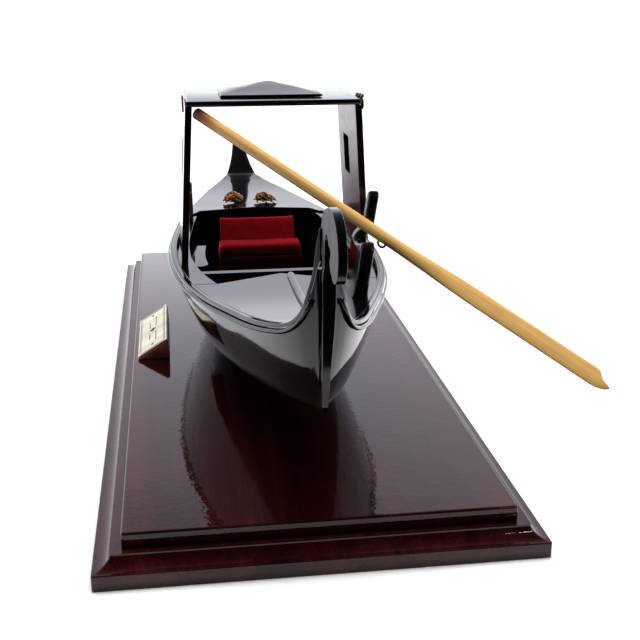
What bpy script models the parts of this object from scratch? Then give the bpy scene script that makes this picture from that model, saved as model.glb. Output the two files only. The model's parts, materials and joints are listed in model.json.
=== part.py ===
"""Display model of a Venetian gondola on a two-tier wooden base.

Units are metres, +Z up. The origin is the centre of the base's bottom face, +Y runs towards the prow and
+X to starboard. Every piece is one closed body of its own, and neighbours keep a gap of FIT between them.
"""
import math

import bmesh
import bpy
from mathutils import Matrix, Vector

MM = 0.001
FIT = 0.3 * MM                      # gap between pieces that touch

# Base
BASE_WIDTH = 200 * MM
BASE_LENGTH = 496 * MM
BAND_TOP = 7.4 * MM                 # top of the plinth's upright band
PLINTH_TOP = 12.8 * MM
COVE_LEDGE = 0.6 * MM               # flat ledge between the band and the cove
COVE_RUN = 7.0 * MM                 # how far the cove steps in
COVE_STEPS = 8
BOARD_INSET_SIDE = 12.6 * MM
BOARD_INSET_END = 11.4 * MM
BOARD_TOP = 20.2 * MM
BOARD_SCREWS = ((-70, -205), (70, -205), (-70, 205), (70, 205))     # x, y in mm
HULL_SCREWS = ((0, -15), (0, 95))
SCREW_SHANK_R = 1.5 * MM
SCREW_HEAD_R = 3.4 * MM
SCREW_HEAD_H = 2.4 * MM
SCREW_RECESS = 1.2 * MM             # the head sits this deep in the underside

# Nameplate
PLATE_LENGTH = 72.8 * MM
PLATE_THICK = 0.9 * MM
WEDGE_X = (-84.6 * MM, -65.2 * MM)
WEDGE_Y = -24.8 * MM
WEDGE_HEIGHT = 12.0 * MM

# Hull: (station y, half beam, height of the top edge), all in mm
HULL_TABLE = (
    (-230.2, 3.9, 136.5), (-229.2, 5.0, 130.5), (-227.2, 7.3, 122), (-223.4, 10.6, 113), (-216.5, 14.8, 106.8),
    (-206, 20.0, 102.8), (-190, 26.4, 98.6), (-168, 33.6, 94.8), (-124, 46.6, 89.6), (-75, 57.6, 87.2),
    (-12, 62.2, 85.9), (56, 58.2, 83.4), (110, 51.4, 80.8), (150, 43.8, 79.0), (205, 32.0, 77.6),
    (245, 19.2, 78.4), (262, 13.6, 79.7),
)
EDGE_DROP = 2.0 * MM                # the shell's own rim lies this far below the finished edge
KEEL_LOW = BOARD_TOP + FIT
KEEL_LOW_Y = 42 * MM
KEEL_RISE = 50 * MM
STERN_FOOT = (-236.8 * MM, 70.6 * MM)
STERN_RAKE = 0.247                  # how much the stern post leans aft for each unit of height
RAKE_TOP = 118 * MM                 # above this the hull's aft end stands upright
PROW_FOOT_Z = 51.8 * MM
PROW_FOOT_REACH = 0.35              # how far the prow's foot runs ahead of its top, as a share of the run
HULL_SKIN = 3.0 * MM
HOLLOW_Y = (-206 * MM, 248 * MM)
STATION_STEP = 14 * MM              # longest distance between hull sections
RIBS = 10                           # points from the keel to each edge

# Decks and well
DECK_THICK = 1.6 * MM
DECK_DROP = 4.4 * MM                # decks inside the caps lie this far below the finished edge
CAP_WIDTH = 4.2 * MM
CAP_THICK = 1.7 * MM
RAIL_WIDTH = 1.2 * MM
RAIL_HEIGHT = 2.0 * MM
RAIL_END = -227.6 * MM              # where the rub rails stop beside the stern post
RAIL_START = 258 * MM
CAP_END_WIDTH = 1.2 * MM            # the caps narrow to this beside the scroll
CAP_NARROWS = (108 * MM, 134 * MM)  # heights between which they do
CAP_TIPS = ((3.9, -241.2, 140.0), (3.5, -240.6, 146.0))     # x, y, z in mm, past the hull's end
EDGE_CROWDING = 2.2
WELL_EDGE = ((-80, 36.8), (-68.6, 40.2), (-54.8, 43.8), (-34.6, 47.4), (-11, 49.6), (24, 49.8), (62.6, 47.6),
             (106, 42.6))
FORE_DECK_Y = 106 * MM
FORE_DECK_NOTCH = ((46, 0), (42, 14), (0, 25))      # x, how far the edge lies ahead of FORE_DECK_Y, in mm
FORE_DECK_END = 261.7 * MM
AFT_DECK_Y = (-203 * MM, -80 * MM)
AFT_DECK_BOW = 19 * MM
FLOOR_TOP = 40 * MM
FLOOR_Y = (-58 * MM, 118 * MM)
BEAM_Y = (-47.5 * MM, -40.5 * MM)
BEAM_TOP = 79.5 * MM
BENCH_TOP = 69 * MM
BENCH_Y = (8 * MM, 62 * MM)
BENCH_INNER = 38 * MM
BENCH_CORNER = 7 * MM               # radius of the aft inner corner

# Seat
SEAT_HALF = 29.7 * MM
BACK_HALF = 27.8 * MM
SEAT_Y = (71 * MM, 100 * MM)
SEAT_DEPTH = 20 * MM
SEAT_BOX_TOP = 57.2 * MM
CUSHION_THICK = 8.2 * MM
CUSHION_CORNER = 2.0 * MM
BACK_LEAN = math.radians(26)
BACK_HEIGHT = 21.5 * MM
BACK_THICK = 8 * MM

# Cabin
CABIN_Y = (-37.4 * MM, 30.0 * MM)
WALL_THICK = 3.8 * MM
WALL_TOP_HALF = 50.0 * MM
WALL_FOOT_HALF = 55.7 * MM
WALL_FOOT_Z = 82.6 * MM
ROOF_TOP = 176.8 * MM
ROOF_THICK = 3.0 * MM
WINDOW_Y = (-6 * MM, 13 * MM)
WINDOW_Z = (128 * MM, 151 * MM)
PEAK_HALF = (29.6 * MM, 20.4 * MM)
PEAK_Y = -2.5 * MM
PEAK_HEIGHT = 7.6 * MM
PEAK_RIM = 0.9 * MM

# Oar and its rests
PIVOT = Vector((42.7, -108.0, 118.2)) * MM          # where the shaft crosses the stern rest
HANDLE_END = Vector((-43.6, -37.0, 170.3)) * MM     # tucked under the roof's corner
BLADE_REACH = 143.5 * MM
SHAFT_R = 3.2 * MM
BLADE_HALF_WIDTH = 4.9 * MM
BLADE_HALF_THICK = 1.1 * MM
REST_THICK = 7.2 * MM
REST_HORN_THICK = 5.6 * MM          # above the crook
REST_HORN_OUT = 4.0 * MM            # the horn's shift outboard
REST_LEAN = 0.158
REST_CROOK = 28 * MM                # height of the crook above the deck
STERN_REST_X = 34.2 * MM            # its middle where it stands on the deck
BOW_REST_X = 47.0 * MM
BOW_REST_Y = 90 * MM
BOW_REST_THICK = 2.8 * MM


# ---------------------------------------------------------------- helpers

def clear_scene():
    for obj in list(bpy.data.objects):
        bpy.data.objects.remove(obj, do_unlink=True)


def material(name, colour, roughness, metallic=0.0):
    found = bpy.data.materials.get(name)
    if found:
        return found
    mat = bpy.data.materials.new(name)
    mat.use_nodes = True
    shader = mat.node_tree.nodes["Principled BSDF"]
    shader.inputs["Base Color"].default_value = (*colour, 1.0)
    shader.inputs["Roughness"].default_value = roughness
    shader.inputs["Metallic"].default_value = metallic
    return mat


def black_lacquer():
    return material("black_lacquer", (0.012, 0.012, 0.014), 0.15)


def mahogany():
    return material("mahogany", (0.10, 0.022, 0.018), 0.18)


def add_object(name, bm, mat, sharp_angle=35, origin=None):
    """Turn a bmesh into a named object, with its faces out and its origin where it is asked for."""
    bmesh.ops.recalc_face_normals(bm, faces=bm.faces)
    if origin is not None:
        bmesh.ops.translate(bm, verts=bm.verts, vec=-origin)
    mesh = bpy.data.meshes.new(name)
    bm.to_mesh(mesh)
    bm.free()
    mesh.shade_smooth()
    mesh.set_sharp_from_angle(angle=math.radians(sharp_angle))
    mesh.materials.append(mat)
    obj = bpy.data.objects.new(name, mesh)
    if origin is not None:
        obj.location = origin
    bpy.context.scene.collection.objects.link(obj)
    return obj


def loft(rings, bm=None):
    """Closed body through rings of equal length; the first and last ring are capped."""
    bm = bm or bmesh.new()
    rows = [[bm.verts.new(point) for point in ring] for ring in rings]
    count = len(rows[0])
    for low, high in zip(rows, rows[1:]):
        for i in range(count):
            bm.faces.new((low[i], low[(i + 1) % count], high[(i + 1) % count], high[i]))
    bm.faces.new(rows[0])
    bm.faces.new(reversed(rows[-1]))
    return bm


def two_skins(outer, inner):
    """Closed body between two point grids of equal size, joined along their four borders."""
    bm = bmesh.new()
    top = [[bm.verts.new(point) for point in row] for row in outer]
    low = [[bm.verts.new(point) for point in row] for row in inner]
    rows, columns = len(top), len(top[0])
    for skin in (top, low):
        for i in range(rows - 1):
            for j in range(columns - 1):
                bm.faces.new((skin[i][j], skin[i + 1][j], skin[i + 1][j + 1], skin[i][j + 1]))
    for i in range(rows - 1):
        for j in (0, columns - 1):
            bm.faces.new((top[i][j], top[i + 1][j], low[i + 1][j], low[i][j]))
    for j in range(columns - 1):
        for i in (0, rows - 1):
            bm.faces.new((top[i][j], top[i][j + 1], low[i][j + 1], low[i][j]))
    return bm


def slab(rows, thickness):
    """Closed board whose top is a point grid and whose underside lies thickness below it."""
    drop = Vector((0, 0, -thickness))
    return two_skins(rows, [[point + drop for point in row] for row in rows])


def box(low, high):
    bm = bmesh.new()
    low, high = Vector(low), Vector(high)
    bmesh.ops.create_cube(bm, size=1.0)
    size = high - low
    bmesh.ops.scale(bm, verts=bm.verts, vec=size)
    bmesh.ops.translate(bm, verts=bm.verts, vec=(low + high) / 2)
    return bm


def bevel(obj, width, segments=2):
    modifier = obj.modifiers.new("soft_edges", "BEVEL")
    modifier.width = width
    modifier.segments = segments
    modifier.limit_method = "ANGLE"
    modifier.angle_limit = math.radians(40)


def cut(obj, cutter):
    """Take a guide shape out of an object."""
    cutter.hide_render = True
    cutter.display_type = "WIRE"
    modifier = obj.modifiers.new("cut_" + cutter.name, "BOOLEAN")
    modifier.operation = "DIFFERENCE"
    modifier.object = cutter


def arc(centre, radius, start, end, count):
    """Points on an arc in the plane, angles in degrees."""
    angles = [math.radians(start + (end - start) * i / count) for i in range(count + 1)]
    return [(centre[0] + radius * math.cos(a), centre[1] + radius * math.sin(a)) for a in angles]


def smooth_step(value):
    value = min(max(value, 0.0), 1.0)
    return value * value * (3 - 2 * value)


def smooth_table(table, y, column):
    """Smooth curve through a table's points: cubic pieces with each point's mean slope."""
    rows = [(row[0] * MM, row[column] * MM) for row in table]
    y = min(max(y, rows[0][0]), rows[-1][0])
    last = len(rows) - 1
    i = next(k for k in range(last) if y <= rows[k + 1][0])

    def slope(k):
        low, high = max(k - 1, 0), min(k + 1, last)
        return (rows[high][1] - rows[low][1]) / (rows[high][0] - rows[low][0])

    (y0, v0), (y1, v1) = rows[i], rows[i + 1]
    run = y1 - y0
    t = (y - y0) / run
    return (v0 * (1 + 2 * t) * (1 - t) ** 2 + v1 * t * t * (3 - 2 * t)
            + run * (slope(i) * t * (1 - t) ** 2 - slope(i + 1) * t * t * (1 - t)))


def half_beam(y):
    return smooth_table(HULL_TABLE, y, 1)


def edge_height(y):
    return smooth_table(HULL_TABLE, y, 2)


def keel_height(y):
    """The bottom's long curve: flat amidships, rising to both ends."""
    if y < KEEL_LOW_Y:
        return KEEL_LOW + KEEL_RISE * ((KEEL_LOW_Y - y) / (KEEL_LOW_Y - STERN_FOOT[0])) ** 1.75
    far = HULL_TABLE[-1][0] * MM
    return KEEL_LOW + (PROW_FOOT_Z - KEEL_LOW) * ((y - KEEL_LOW_Y) / (far - KEEL_LOW_Y)) ** 1.9


def lean_of_station(y, z):
    """The aft stations lean out with the stern post; this is the shift along Y at a height."""
    aft = STERN_RAKE * smooth_step((-150 * MM - y) / (80 * MM))
    return -aft * (min(z, RAKE_TOP) - STERN_FOOT[1])


def fullness(y):
    """0.28 is a round, full section; 1 is a plain V, as at the posts."""
    aft = smooth_step((-200 * MM - y) / (90 * MM))
    fore = smooth_step((y - 190 * MM) / (100 * MM))
    return 0.28 + 0.62 * max(aft, fore)


def section(y, beam, keel, rim):
    """Points of one hull section from the port edge round the keel to the starboard edge."""
    points = []
    for j in range(-RIBS, RIBS + 1):
        u = abs(j) / RIBS
        height = u ** 3
        x = math.copysign(beam * height ** fullness(y), j) if j else 0.0
        z = keel + (rim - keel) * height
        points.append(Vector((x, y + lean_of_station(y, z), z)))
    return points


def width_at(y, z, skin=0.0):
    """Half width of the hull's section at a height, inside the given skin."""
    keel, rim = keel_height(y) + skin, edge_height(y) - EDGE_DROP
    height = min(max((z - keel) / (rim - keel), 0.0), 1.0)
    return (half_beam(y) - skin) * height ** fullness(y)


def stations(start, end, count):
    return [start + (end - start) * i / count for i in range(count + 1)]


def hull_stations():
    """Each span between the table's rows is divided, so the stations lie closest where the edge sweeps up."""
    places = [HULL_TABLE[0][0] * MM]
    for row, following in zip(HULL_TABLE, HULL_TABLE[1:]):
        start, end = row[0] * MM, following[0] * MM
        places += stations(start, end, max(2, round((end - start) / STATION_STEP)))[1:]
    return places


# ---------------------------------------------------------------- base

def moulding_ring(inset, z):
    x, y = BASE_WIDTH / 2 - inset, BASE_LENGTH / 2 - inset
    return [Vector((sx * x, sy * y, z)) for sx, sy in ((-1, -1), (1, -1), (1, 1), (-1, 1))]


def make_plinth():
    rings = [moulding_ring(0.4 * MM, 0.0), moulding_ring(0.0, 0.4 * MM), moulding_ring(0.0, BAND_TOP)]
    for step in range(COVE_STEPS + 1):
        turn = math.radians(90 * step / COVE_STEPS)
        rings.append(moulding_ring(COVE_LEDGE + COVE_RUN * math.sin(turn),
                                   BAND_TOP + (PLINTH_TOP - BAND_TOP) * (1 - math.cos(turn))))
    plinth = add_object("plinth", loft(rings), mahogany(), 25)
    for i, (x, y) in enumerate(BOARD_SCREWS + HULL_SCREWS):
        head = SCREW_HEAD_H + SCREW_RECESS
        profile = ((-MM, SCREW_HEAD_R), (SCREW_RECESS, SCREW_HEAD_R), (head, SCREW_SHANK_R),
                   (PLINTH_TOP + MM, SCREW_SHANK_R))
        rings = [ring_at(x * MM, y * MM, z, r + FIT) for z, r in profile]
        cut(plinth, add_object(f"plinth_bore_{i + 1}", loft(rings), mahogany()))


def ring_at(x, y, z, radius, count=16):
    return [Vector((x + radius * math.cos(2 * math.pi * i / count),
                    y + radius * math.sin(2 * math.pi * i / count), z)) for i in range(count)]


def make_top_board():
    x, y = BASE_WIDTH / 2 - BOARD_INSET_SIDE, BASE_LENGTH / 2 - BOARD_INSET_END
    board = add_object("top_board", box((-x, -y, PLINTH_TOP + FIT), (x, y, BOARD_TOP)), mahogany())
    for i, (sx, sy) in enumerate(BOARD_SCREWS + HULL_SCREWS):
        top = BOARD_TOP + MM if i >= len(BOARD_SCREWS) else BOARD_TOP - 1.6 * MM
        rings = [ring_at(sx * MM, sy * MM, z, SCREW_SHANK_R + FIT) for z in (PLINTH_TOP - MM, top)]
        cut(board, add_object(f"board_bore_{i + 1}", loft(rings), mahogany()))
    bevel(board, 0.5 * MM)


def make_screw(name, x, y, tip):
    steel = material("zinc_steel", (0.62, 0.61, 0.58), 0.35, 1.0)
    head = SCREW_RECESS + SCREW_HEAD_H
    slot = 0.9 * MM
    profile = ((SCREW_RECESS, SCREW_HEAD_R - slot), (SCREW_RECESS + 0.3 * MM, SCREW_HEAD_R),
               (head, SCREW_SHANK_R), (tip - 2 * MM, SCREW_SHANK_R), (tip, 0.4 * MM))
    return add_object(name, loft([ring_at(x * MM, y * MM, z, r) for z, r in profile]), steel)


def make_screws():
    for i, (x, y) in enumerate(BOARD_SCREWS):
        make_screw(f"board_screw_{i + 1}", x, y, BOARD_TOP - 2.0 * MM)
    for i, (x, y) in enumerate(HULL_SCREWS):
        make_screw(f"hull_screw_{i + 1}", x, y, hull_screw_tip(y * MM))


def hull_screw_tip(y):
    return keel_height(y) + HULL_SKIN + 6.4 * MM


def make_nameplate():
    (x0, x1), y0 = WEDGE_X, WEDGE_Y
    low = BOARD_TOP + FIT
    outline = [(x0, low), (x1, low), (x1 - 0.8 * MM, BOARD_TOP + WEDGE_HEIGHT)]
    ends = [[Vector((x, y, z)) for x, z in outline] for y in (y0, y0 + PLATE_LENGTH)]
    rosewood = material("rosewood", (0.20, 0.07, 0.035), 0.45)
    add_object("nameplate_wedge", loft(ends), rosewood)

    along = Vector((outline[2][0] - outline[0][0], 0, outline[2][1] - outline[0][1]))
    out = Vector((-along.z, 0, along.x)).normalized()
    foot = Vector((x0, 0, low)) + along.normalized() * 0.7 * MM + out * FIT
    head = foot + along - along.normalized() * 0.9 * MM
    rim = 0.6 * MM
    ring = [foot, head, head + out * PLATE_THICK, foot + out * PLATE_THICK]
    ends = [[Vector((p.x, y, p.z)) for p in ring] for y in (y0 + rim, y0 + PLATE_LENGTH - rim)]
    brass = material("brass", (0.78, 0.66, 0.42), 0.3, 1.0)
    add_object("nameplate", loft(ends), brass)


# ---------------------------------------------------------------- hull

def make_hull():
    outer, inner = [], []
    for y in hull_stations():
        rim = edge_height(y) - EDGE_DROP
        outer.append(section(y, half_beam(y), keel_height(y), rim))
        if HOLLOW_Y[0] < y < HOLLOW_Y[1]:
            inner.append(section(y, half_beam(y) - HULL_SKIN, keel_height(y) + HULL_SKIN, rim))
            continue
        beam = half_beam(y) * 0.8
        inner.append([Vector((beam * j / RIBS, y + lean_of_station(y, rim), rim))
                      for j in range(-RIBS, RIBS + 1)])
    hull = add_object("hull", two_skins(outer, inner), black_lacquer(), 40)
    for i, (x, y) in enumerate(HULL_SCREWS):
        low = keel_height(y * MM) - 2 * MM
        rings = [ring_at(x * MM, y * MM, z, SCREW_SHANK_R + FIT) for z in (low, low + 9 * MM)]
        cut(hull, add_object(f"hull_bore_{i + 1}", loft(rings), black_lacquer()))


def make_mounting_blocks():
    pine = material("raw_wood", (0.55, 0.40, 0.24), 0.6)
    half_x, half_y = 9 * MM, 8 * MM
    for i, (x, y) in enumerate(HULL_SCREWS):
        low = keel_height(y * MM) + HULL_SKIN + 1.6 * MM
        top = low + 7.6 * MM
        block = add_object(f"mounting_block_{i + 1}",
                           box((-half_x, y * MM - half_y, low), (half_x, y * MM + half_y, top)), pine)
        bore_top = hull_screw_tip(y * MM) + 0.6 * MM
        rings = [ring_at(x * MM, y * MM, z, SCREW_SHANK_R + FIT) for z in (low - MM, bore_top)]
        cut(block, add_object(f"block_bore_{i + 1}", loft(rings), pine))


def make_stern_post():
    """The post's side outline, in mm: up the front edge, round the scroll and its slot, down the back."""
    foot_y, foot_z = STERN_FOOT[0] / MM, STERN_FOOT[1] / MM
    front = [(foot_y, foot_z), (-243.2, 96), (-248.8, 121), (-248.6, 132), (-247.2, 141)]
    slot = arc((-252.6, 145.6), 5.2, -12, 150, 6)
    tip = [(-262.6, 146.6), (-260.2, 142.4), (-262.0, 139.2)] + arc((-270.6, 147.4), 10.6, -60, -140, 4)
    scroll = [(-281.4, 149.0), (-279.6, 154.6), (-275.4, 159.2), (-267.6, 162.6), (-258, 162.6)]
    depth = 6.3
    upright = foot_y + depth - STERN_RAKE * (RAKE_TOP / MM - foot_z)
    shoulder = [(-247.5, 159.6), (-241.0, 155.4), (-237.2, 150), (-236.8, 144.5), (upright + 1.6, 139.2),
                (upright, 136.8)]
    back = [(foot_y + depth - STERN_RAKE * (z - foot_z), z) for z in (RAKE_TOP / MM, 98, foot_z + 2.5)]
    outline = front + slot + tip + scroll + shoulder + back

    def half_width(z):
        if z > 138:
            return 1.8
        return 1.45 + 1.25 * smooth_step((z - foot_z) / 55)

    sides = [[Vector((side * half_width(z), y, z)) * MM for y, z in outline] for side in (-1, 1)]
    bevel(add_object("stern_post", loft(sides), black_lacquer()), 0.4 * MM)


def make_prow_post():
    """Solid prow that turns up into a fin, (run, half width, low z, top z) in mm; its foot reaches forward."""
    shape = ((0, 13.4, 52.0, 79.7), (3.5, 12.2, 54.2, 80.5), (7, 11.0, 56.4, 82.6), (13, 9.0, 60.0, 87.0),
             (20, 7.2, 64.6, 92.2), (27, 5.9, 70.0, 97.4), (32, 5.2, 75.0, 101.1), (36, 4.7, 80.0, 103.6),
             (39, 4.2, 85.0, 104.6), (41, 2.6, 90.0, 103.0))
    loop = ((0.08, 0.0), (0.42, 0.3), (0.72, 0.64), (0.93, 0.9), (1.0, 1.0))
    y_start = HULL_TABLE[-1][0] * MM + FIT
    rings = []
    for run, half, low, top in shape:
        ring = []
        for share, up in loop + tuple((-share, up) for share, up in reversed(loop)):
            y = y_start + run * (1 + PROW_FOOT_REACH * (1 - up)) * MM
            ring.append(Vector((share * half * MM, y, (low + (top - low) * up) * MM)))
        rings.append(ring)
    add_object("prow_post", loft(rings), black_lacquer(), 50)


def edge_frames(side, start, end, count):
    """Rim points on one side, closer together towards the end, each with its outward and upward directions."""
    rim = []
    for i in range(count + 1):
        y = start + (end - start) * (1 - (1 - i / count) ** EDGE_CROWDING)
        z = edge_height(y) - EDGE_DROP
        rim.append(Vector((side * half_beam(y), y + lean_of_station(y, z), z)))
    frames = []
    for i, point in enumerate(rim):
        ahead = rim[min(i + 1, count)] - rim[max(i - 1, 0)]
        outward = ahead.cross(Vector((0, 0, 1))).normalized() * -side
        up = ahead.cross(outward).normalized() * side
        frames.append((point, outward, up))
    return frames


def bar_ring(point, outward, up, width, height):
    wide, tall = outward * width / 2, up * height / 2
    return [point - wide - tall, point + wide - tall, point + wide + tall, point - wide + tall]


def cap_width(z):
    low, high = CAP_NARROWS
    return CAP_WIDTH + (CAP_END_WIDTH - CAP_WIDTH) * smooth_step((z - low) / (high - low))


def make_caps_and_rails():
    for side, name in ((-1, "port"), (1, "starboard")):
        rings = []
        for rim, outward, up in edge_frames(side, FORE_DECK_Y - 3 * FIT, HULL_TABLE[0][0] * MM, 44):
            width = cap_width(rim.z)
            middle = rim + up * (EDGE_DROP - CAP_THICK / 2) - outward * width / 2
            rings.append(bar_ring(middle, outward, up, width, CAP_THICK))
        for x, y, z in CAP_TIPS:
            middle = Vector((side * x, y, z)) * MM
            rings.append(bar_ring(middle, outward, up, CAP_END_WIDTH * 0.9, CAP_THICK * 0.8))
        add_object("gunwale_cap_" + name, loft(rings), black_lacquer(), 50)

        rings = []
        for rim, outward, up in edge_frames(side, RAIL_START, RAIL_END, 48):
            middle = rim - up * (FIT + RAIL_HEIGHT / 2) + outward * (FIT + RAIL_WIDTH / 2)
            rings.append(bar_ring(middle, outward, up, RAIL_WIDTH, RAIL_HEIGHT))
        add_object("rub_rail_" + name, loft(rings), black_lacquer(), 50)


# ---------------------------------------------------------------- decks and well

def well_half(y):
    return smooth_table(WELL_EDGE, y, 1)


def deck_inner_edge(y):
    return half_beam(y) - CAP_WIDTH - FIT


def side_deck_height(y):
    """Side decks lie below the caps, and come up to the fore deck at their fore end."""
    drop = DECK_DROP * (1 - 0.7 * smooth_step((y - 60 * MM) / (44 * MM)))
    return edge_height(y) - drop


def make_side_decks():
    for side, name in ((-1, "port"), (1, "starboard")):
        rows = []
        for y in stations(AFT_DECK_Y[1] + FIT, FORE_DECK_Y - FIT, 18):
            z = side_deck_height(y)
            rows.append([Vector((side * x, y, z)) for x in (well_half(y), deck_inner_edge(y))])
        add_object("side_deck_" + name, slab(rows, DECK_THICK), black_lacquer())


def make_aft_deck():
    rows = []
    start, end = AFT_DECK_Y
    for y in stations(start, end, 14):
        bow = AFT_DECK_BOW * smooth_step((y - start) / (end - start))
        corner = well_half(end) / deck_inner_edge(end)
        row = []
        for u in (-1, -corner, -corner / 2, 0, corner / 2, corner, 1):
            y_here = y + bow * max(1 - abs(u) / corner, 0)
            row.append(Vector((deck_inner_edge(y) * u, y_here, edge_height(y_here) - DECK_DROP)))
        rows.append(row)
    add_object("aft_deck", slab(rows, DECK_THICK), black_lacquer())


def make_fore_deck():
    start, end = FORE_DECK_Y, FORE_DECK_END
    notch = [(x * MM, run * MM) for x, run in FORE_DECK_NOTCH]
    rows = []
    for y in stations(start, end, 26):
        fade = 1 - smooth_step((y - start) / (60 * MM))
        half = half_beam(y)
        scale = half / half_beam(start)
        line = [(half, 0.0)] + [(x * scale, run * fade) for x, run in notch]
        line += [(-x, run) for x, run in reversed(line[:-1])]
        row = []
        for x, run in line:
            z = edge_height(y + run)
            row.append(Vector((x * half_beam(y + run) / half, y + run, z)))
        rows.append(row)
    add_object("fore_deck", slab(rows, EDGE_DROP - 2 * FIT), black_lacquer())


def make_floor():
    rows = []
    for y in stations(*FLOOR_Y, 12):
        half = width_at(y, FLOOR_TOP - 1.6 * MM, HULL_SKIN) - 1.2 * MM
        rows.append([Vector((half * u, y, FLOOR_TOP)) for u in (-1, 0, 1)])
    add_object("cockpit_floor", slab(rows, 1.6 * MM), black_lacquer())


def make_crossbeam():
    y0, y1 = BEAM_Y
    half = well_half(y1) - 0.6 * MM
    bar = box((-half, y0, BEAM_TOP - 3.2 * MM), (half, y1, BEAM_TOP))
    bevel(add_object("crossbeam", bar, black_lacquer()), 0.5 * MM)


def make_batten():
    """Foot batten on the aft deck, with a rounded fore end."""
    rows = []
    centre, half = 5.0 * MM, 2.1 * MM
    for y in stations(-176 * MM, -66 * MM, 16):
        z = edge_height(y) - DECK_DROP + FIT + 1.6 * MM
        shift = 0.4 * MM * math.sin((y + 66 * MM) / (110 * MM) * math.pi)
        near_end = (-66 * MM - y) / (4 * MM)
        taper = math.sqrt(max(1 - (1 - min(near_end, 1)) ** 2, 0.12))
        rows.append([Vector((centre + shift + half * taper * u, y, z - 0.5 * MM * abs(u)))
                     for u in (-1, -0.4, 0.4, 1)])
    low = [[Vector((p.x, p.y, edge_height(p.y) - DECK_DROP + FIT)) for p in row] for row in rows]
    add_object("deck_batten", two_skins(rows, low), black_lacquer(), 50)


def bench_inner(y):
    """Inner edge of a side bench: slightly hollow, with a rounded aft corner."""
    start, end = BENCH_Y
    hollow = 1.6 * MM * math.sin(math.pi * (y - start) / (end - start))
    near = max(BENCH_CORNER - (y - start), 0.0)
    return BENCH_INNER + hollow + BENCH_CORNER - math.sqrt(BENCH_CORNER ** 2 - near ** 2)


def make_benches():
    start, end = BENCH_Y
    places = [start + BENCH_CORNER * (1 - math.cos(math.radians(a))) for a in (8, 25, 45, 65)]
    places += stations(start + BENCH_CORNER, end, 8)
    for side, name in ((-1, "port"), (1, "starboard")):
        rows = []
        for y in places:
            outer = width_at(y, BENCH_TOP - 2 * MM, HULL_SKIN) - 0.8 * MM
            rows.append([Vector((side * x, y, BENCH_TOP)) for x in (bench_inner(y), outer)])
        add_object("side_bench_" + name, slab(rows, 2 * MM), black_lacquer())


def pillow_ring(x, low, high, lean, corner):
    """Rounded rectangle in the plane of one X, leaning aft to fore as it rises."""
    (y_a, z_a), (y_b, z_b) = low, high
    points = []
    for cy, cz, start in ((y_b - corner, z_b - corner, 0), (y_a + corner, z_b - corner, 90),
                          (y_a + corner, z_a + corner, 180), (y_b - corner, z_a + corner, 270)):
        points += arc((cy, cz), corner, start, start + 90, 3)
    return [Vector((x, y + (z - z_a) * math.tan(lean), z)) for y, z in points]


def make_cushion(name, half, low, high, lean):
    velvet = material("red_velvet", (0.42, 0.01, 0.02), 0.85)
    rings = []
    for x, shrink in ((-1, 1.6), (-0.96, 0.3), (-0.5, 0), (0.5, 0), (0.96, 0.3), (1, 1.6)):
        s = shrink * MM
        rings.append(pillow_ring(x * half, (low[0] + s, low[1] + s), (high[0] - s, high[1] - s),
                                 lean, CUSHION_CORNER))
    add_object(name, loft(rings), velvet, 60)


def make_seat():
    maroon = material("dark_maroon", (0.07, 0.008, 0.012), 0.3)
    (y0, y1), half = SEAT_Y, SEAT_HALF - 0.8 * MM
    floor = FLOOR_TOP + FIT
    bevel(add_object("seat_box", box((-half, y0 + MM, floor), (half, y1, SEAT_BOX_TOP)), maroon), 0.5 * MM)
    low = SEAT_BOX_TOP + FIT
    back_foot = y0 + SEAT_DEPTH
    make_cushion("seat_cushion", SEAT_HALF, (y0, low), (back_foot - FIT, low + CUSHION_THICK), 0.0)
    make_cushion("back_cushion", BACK_HALF, (back_foot + 0.5 * MM, low),
                 (back_foot + BACK_THICK, low + BACK_HEIGHT), BACK_LEAN)


# ---------------------------------------------------------------- cabin

def wall_outer(z):
    """Half width of the cabin's outer face at a height."""
    t = (z - WALL_FOOT_Z) / (ROOF_TOP - WALL_FOOT_Z)
    return WALL_FOOT_HALF + (WALL_TOP_HALF - WALL_FOOT_HALF) * t


def make_cabin_walls():
    top = ROOF_TOP - ROOF_THICK - FIT
    for side, name in ((-1, "port"), (1, "starboard")):
        rings = []
        for y in CABIN_Y:
            foot = side_deck_height(y) + 0.5 * MM
            ring = []
            for z, inner in ((foot, 0), (foot, 1), (top, 1), (top, 0)):
                ring.append(Vector((side * (wall_outer(z) - inner * WALL_THICK), y, z)))
            rings.append(ring)
        wall = add_object("cabin_wall_" + name, loft(rings), black_lacquer())
        low, high = 40 * MM, 70 * MM
        hole = box((min(side * low, side * high), WINDOW_Y[0], WINDOW_Z[0]),
                   (max(side * low, side * high), WINDOW_Y[1], WINDOW_Z[1]))
        cut(wall, add_object("window_cut_" + name, hole, black_lacquer()))
        bevel(wall, 0.3 * MM, 1)


def make_roof():
    half = WALL_TOP_HALF + 0.2 * MM
    y0, y1 = CABIN_Y
    roof = box((-half, y0, ROOF_TOP - ROOF_THICK), (half, y1, ROOF_TOP))
    bevel(add_object("cabin_roof", roof, black_lacquer()), 0.5 * MM)

    (hx, hy), low = PEAK_HALF, ROOF_TOP + FIT
    rings = [[Vector((sx * hx * k, PEAK_Y + sy * hy * k, z)) for sx, sy in ((-1, -1), (1, -1), (1, 1), (-1, 1))]
             for z, k in ((low, 1.0), (low + PEAK_RIM, 1.0), (low + PEAK_HEIGHT, 0.02))]
    add_object("roof_peak", loft(rings), black_lacquer())


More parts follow.
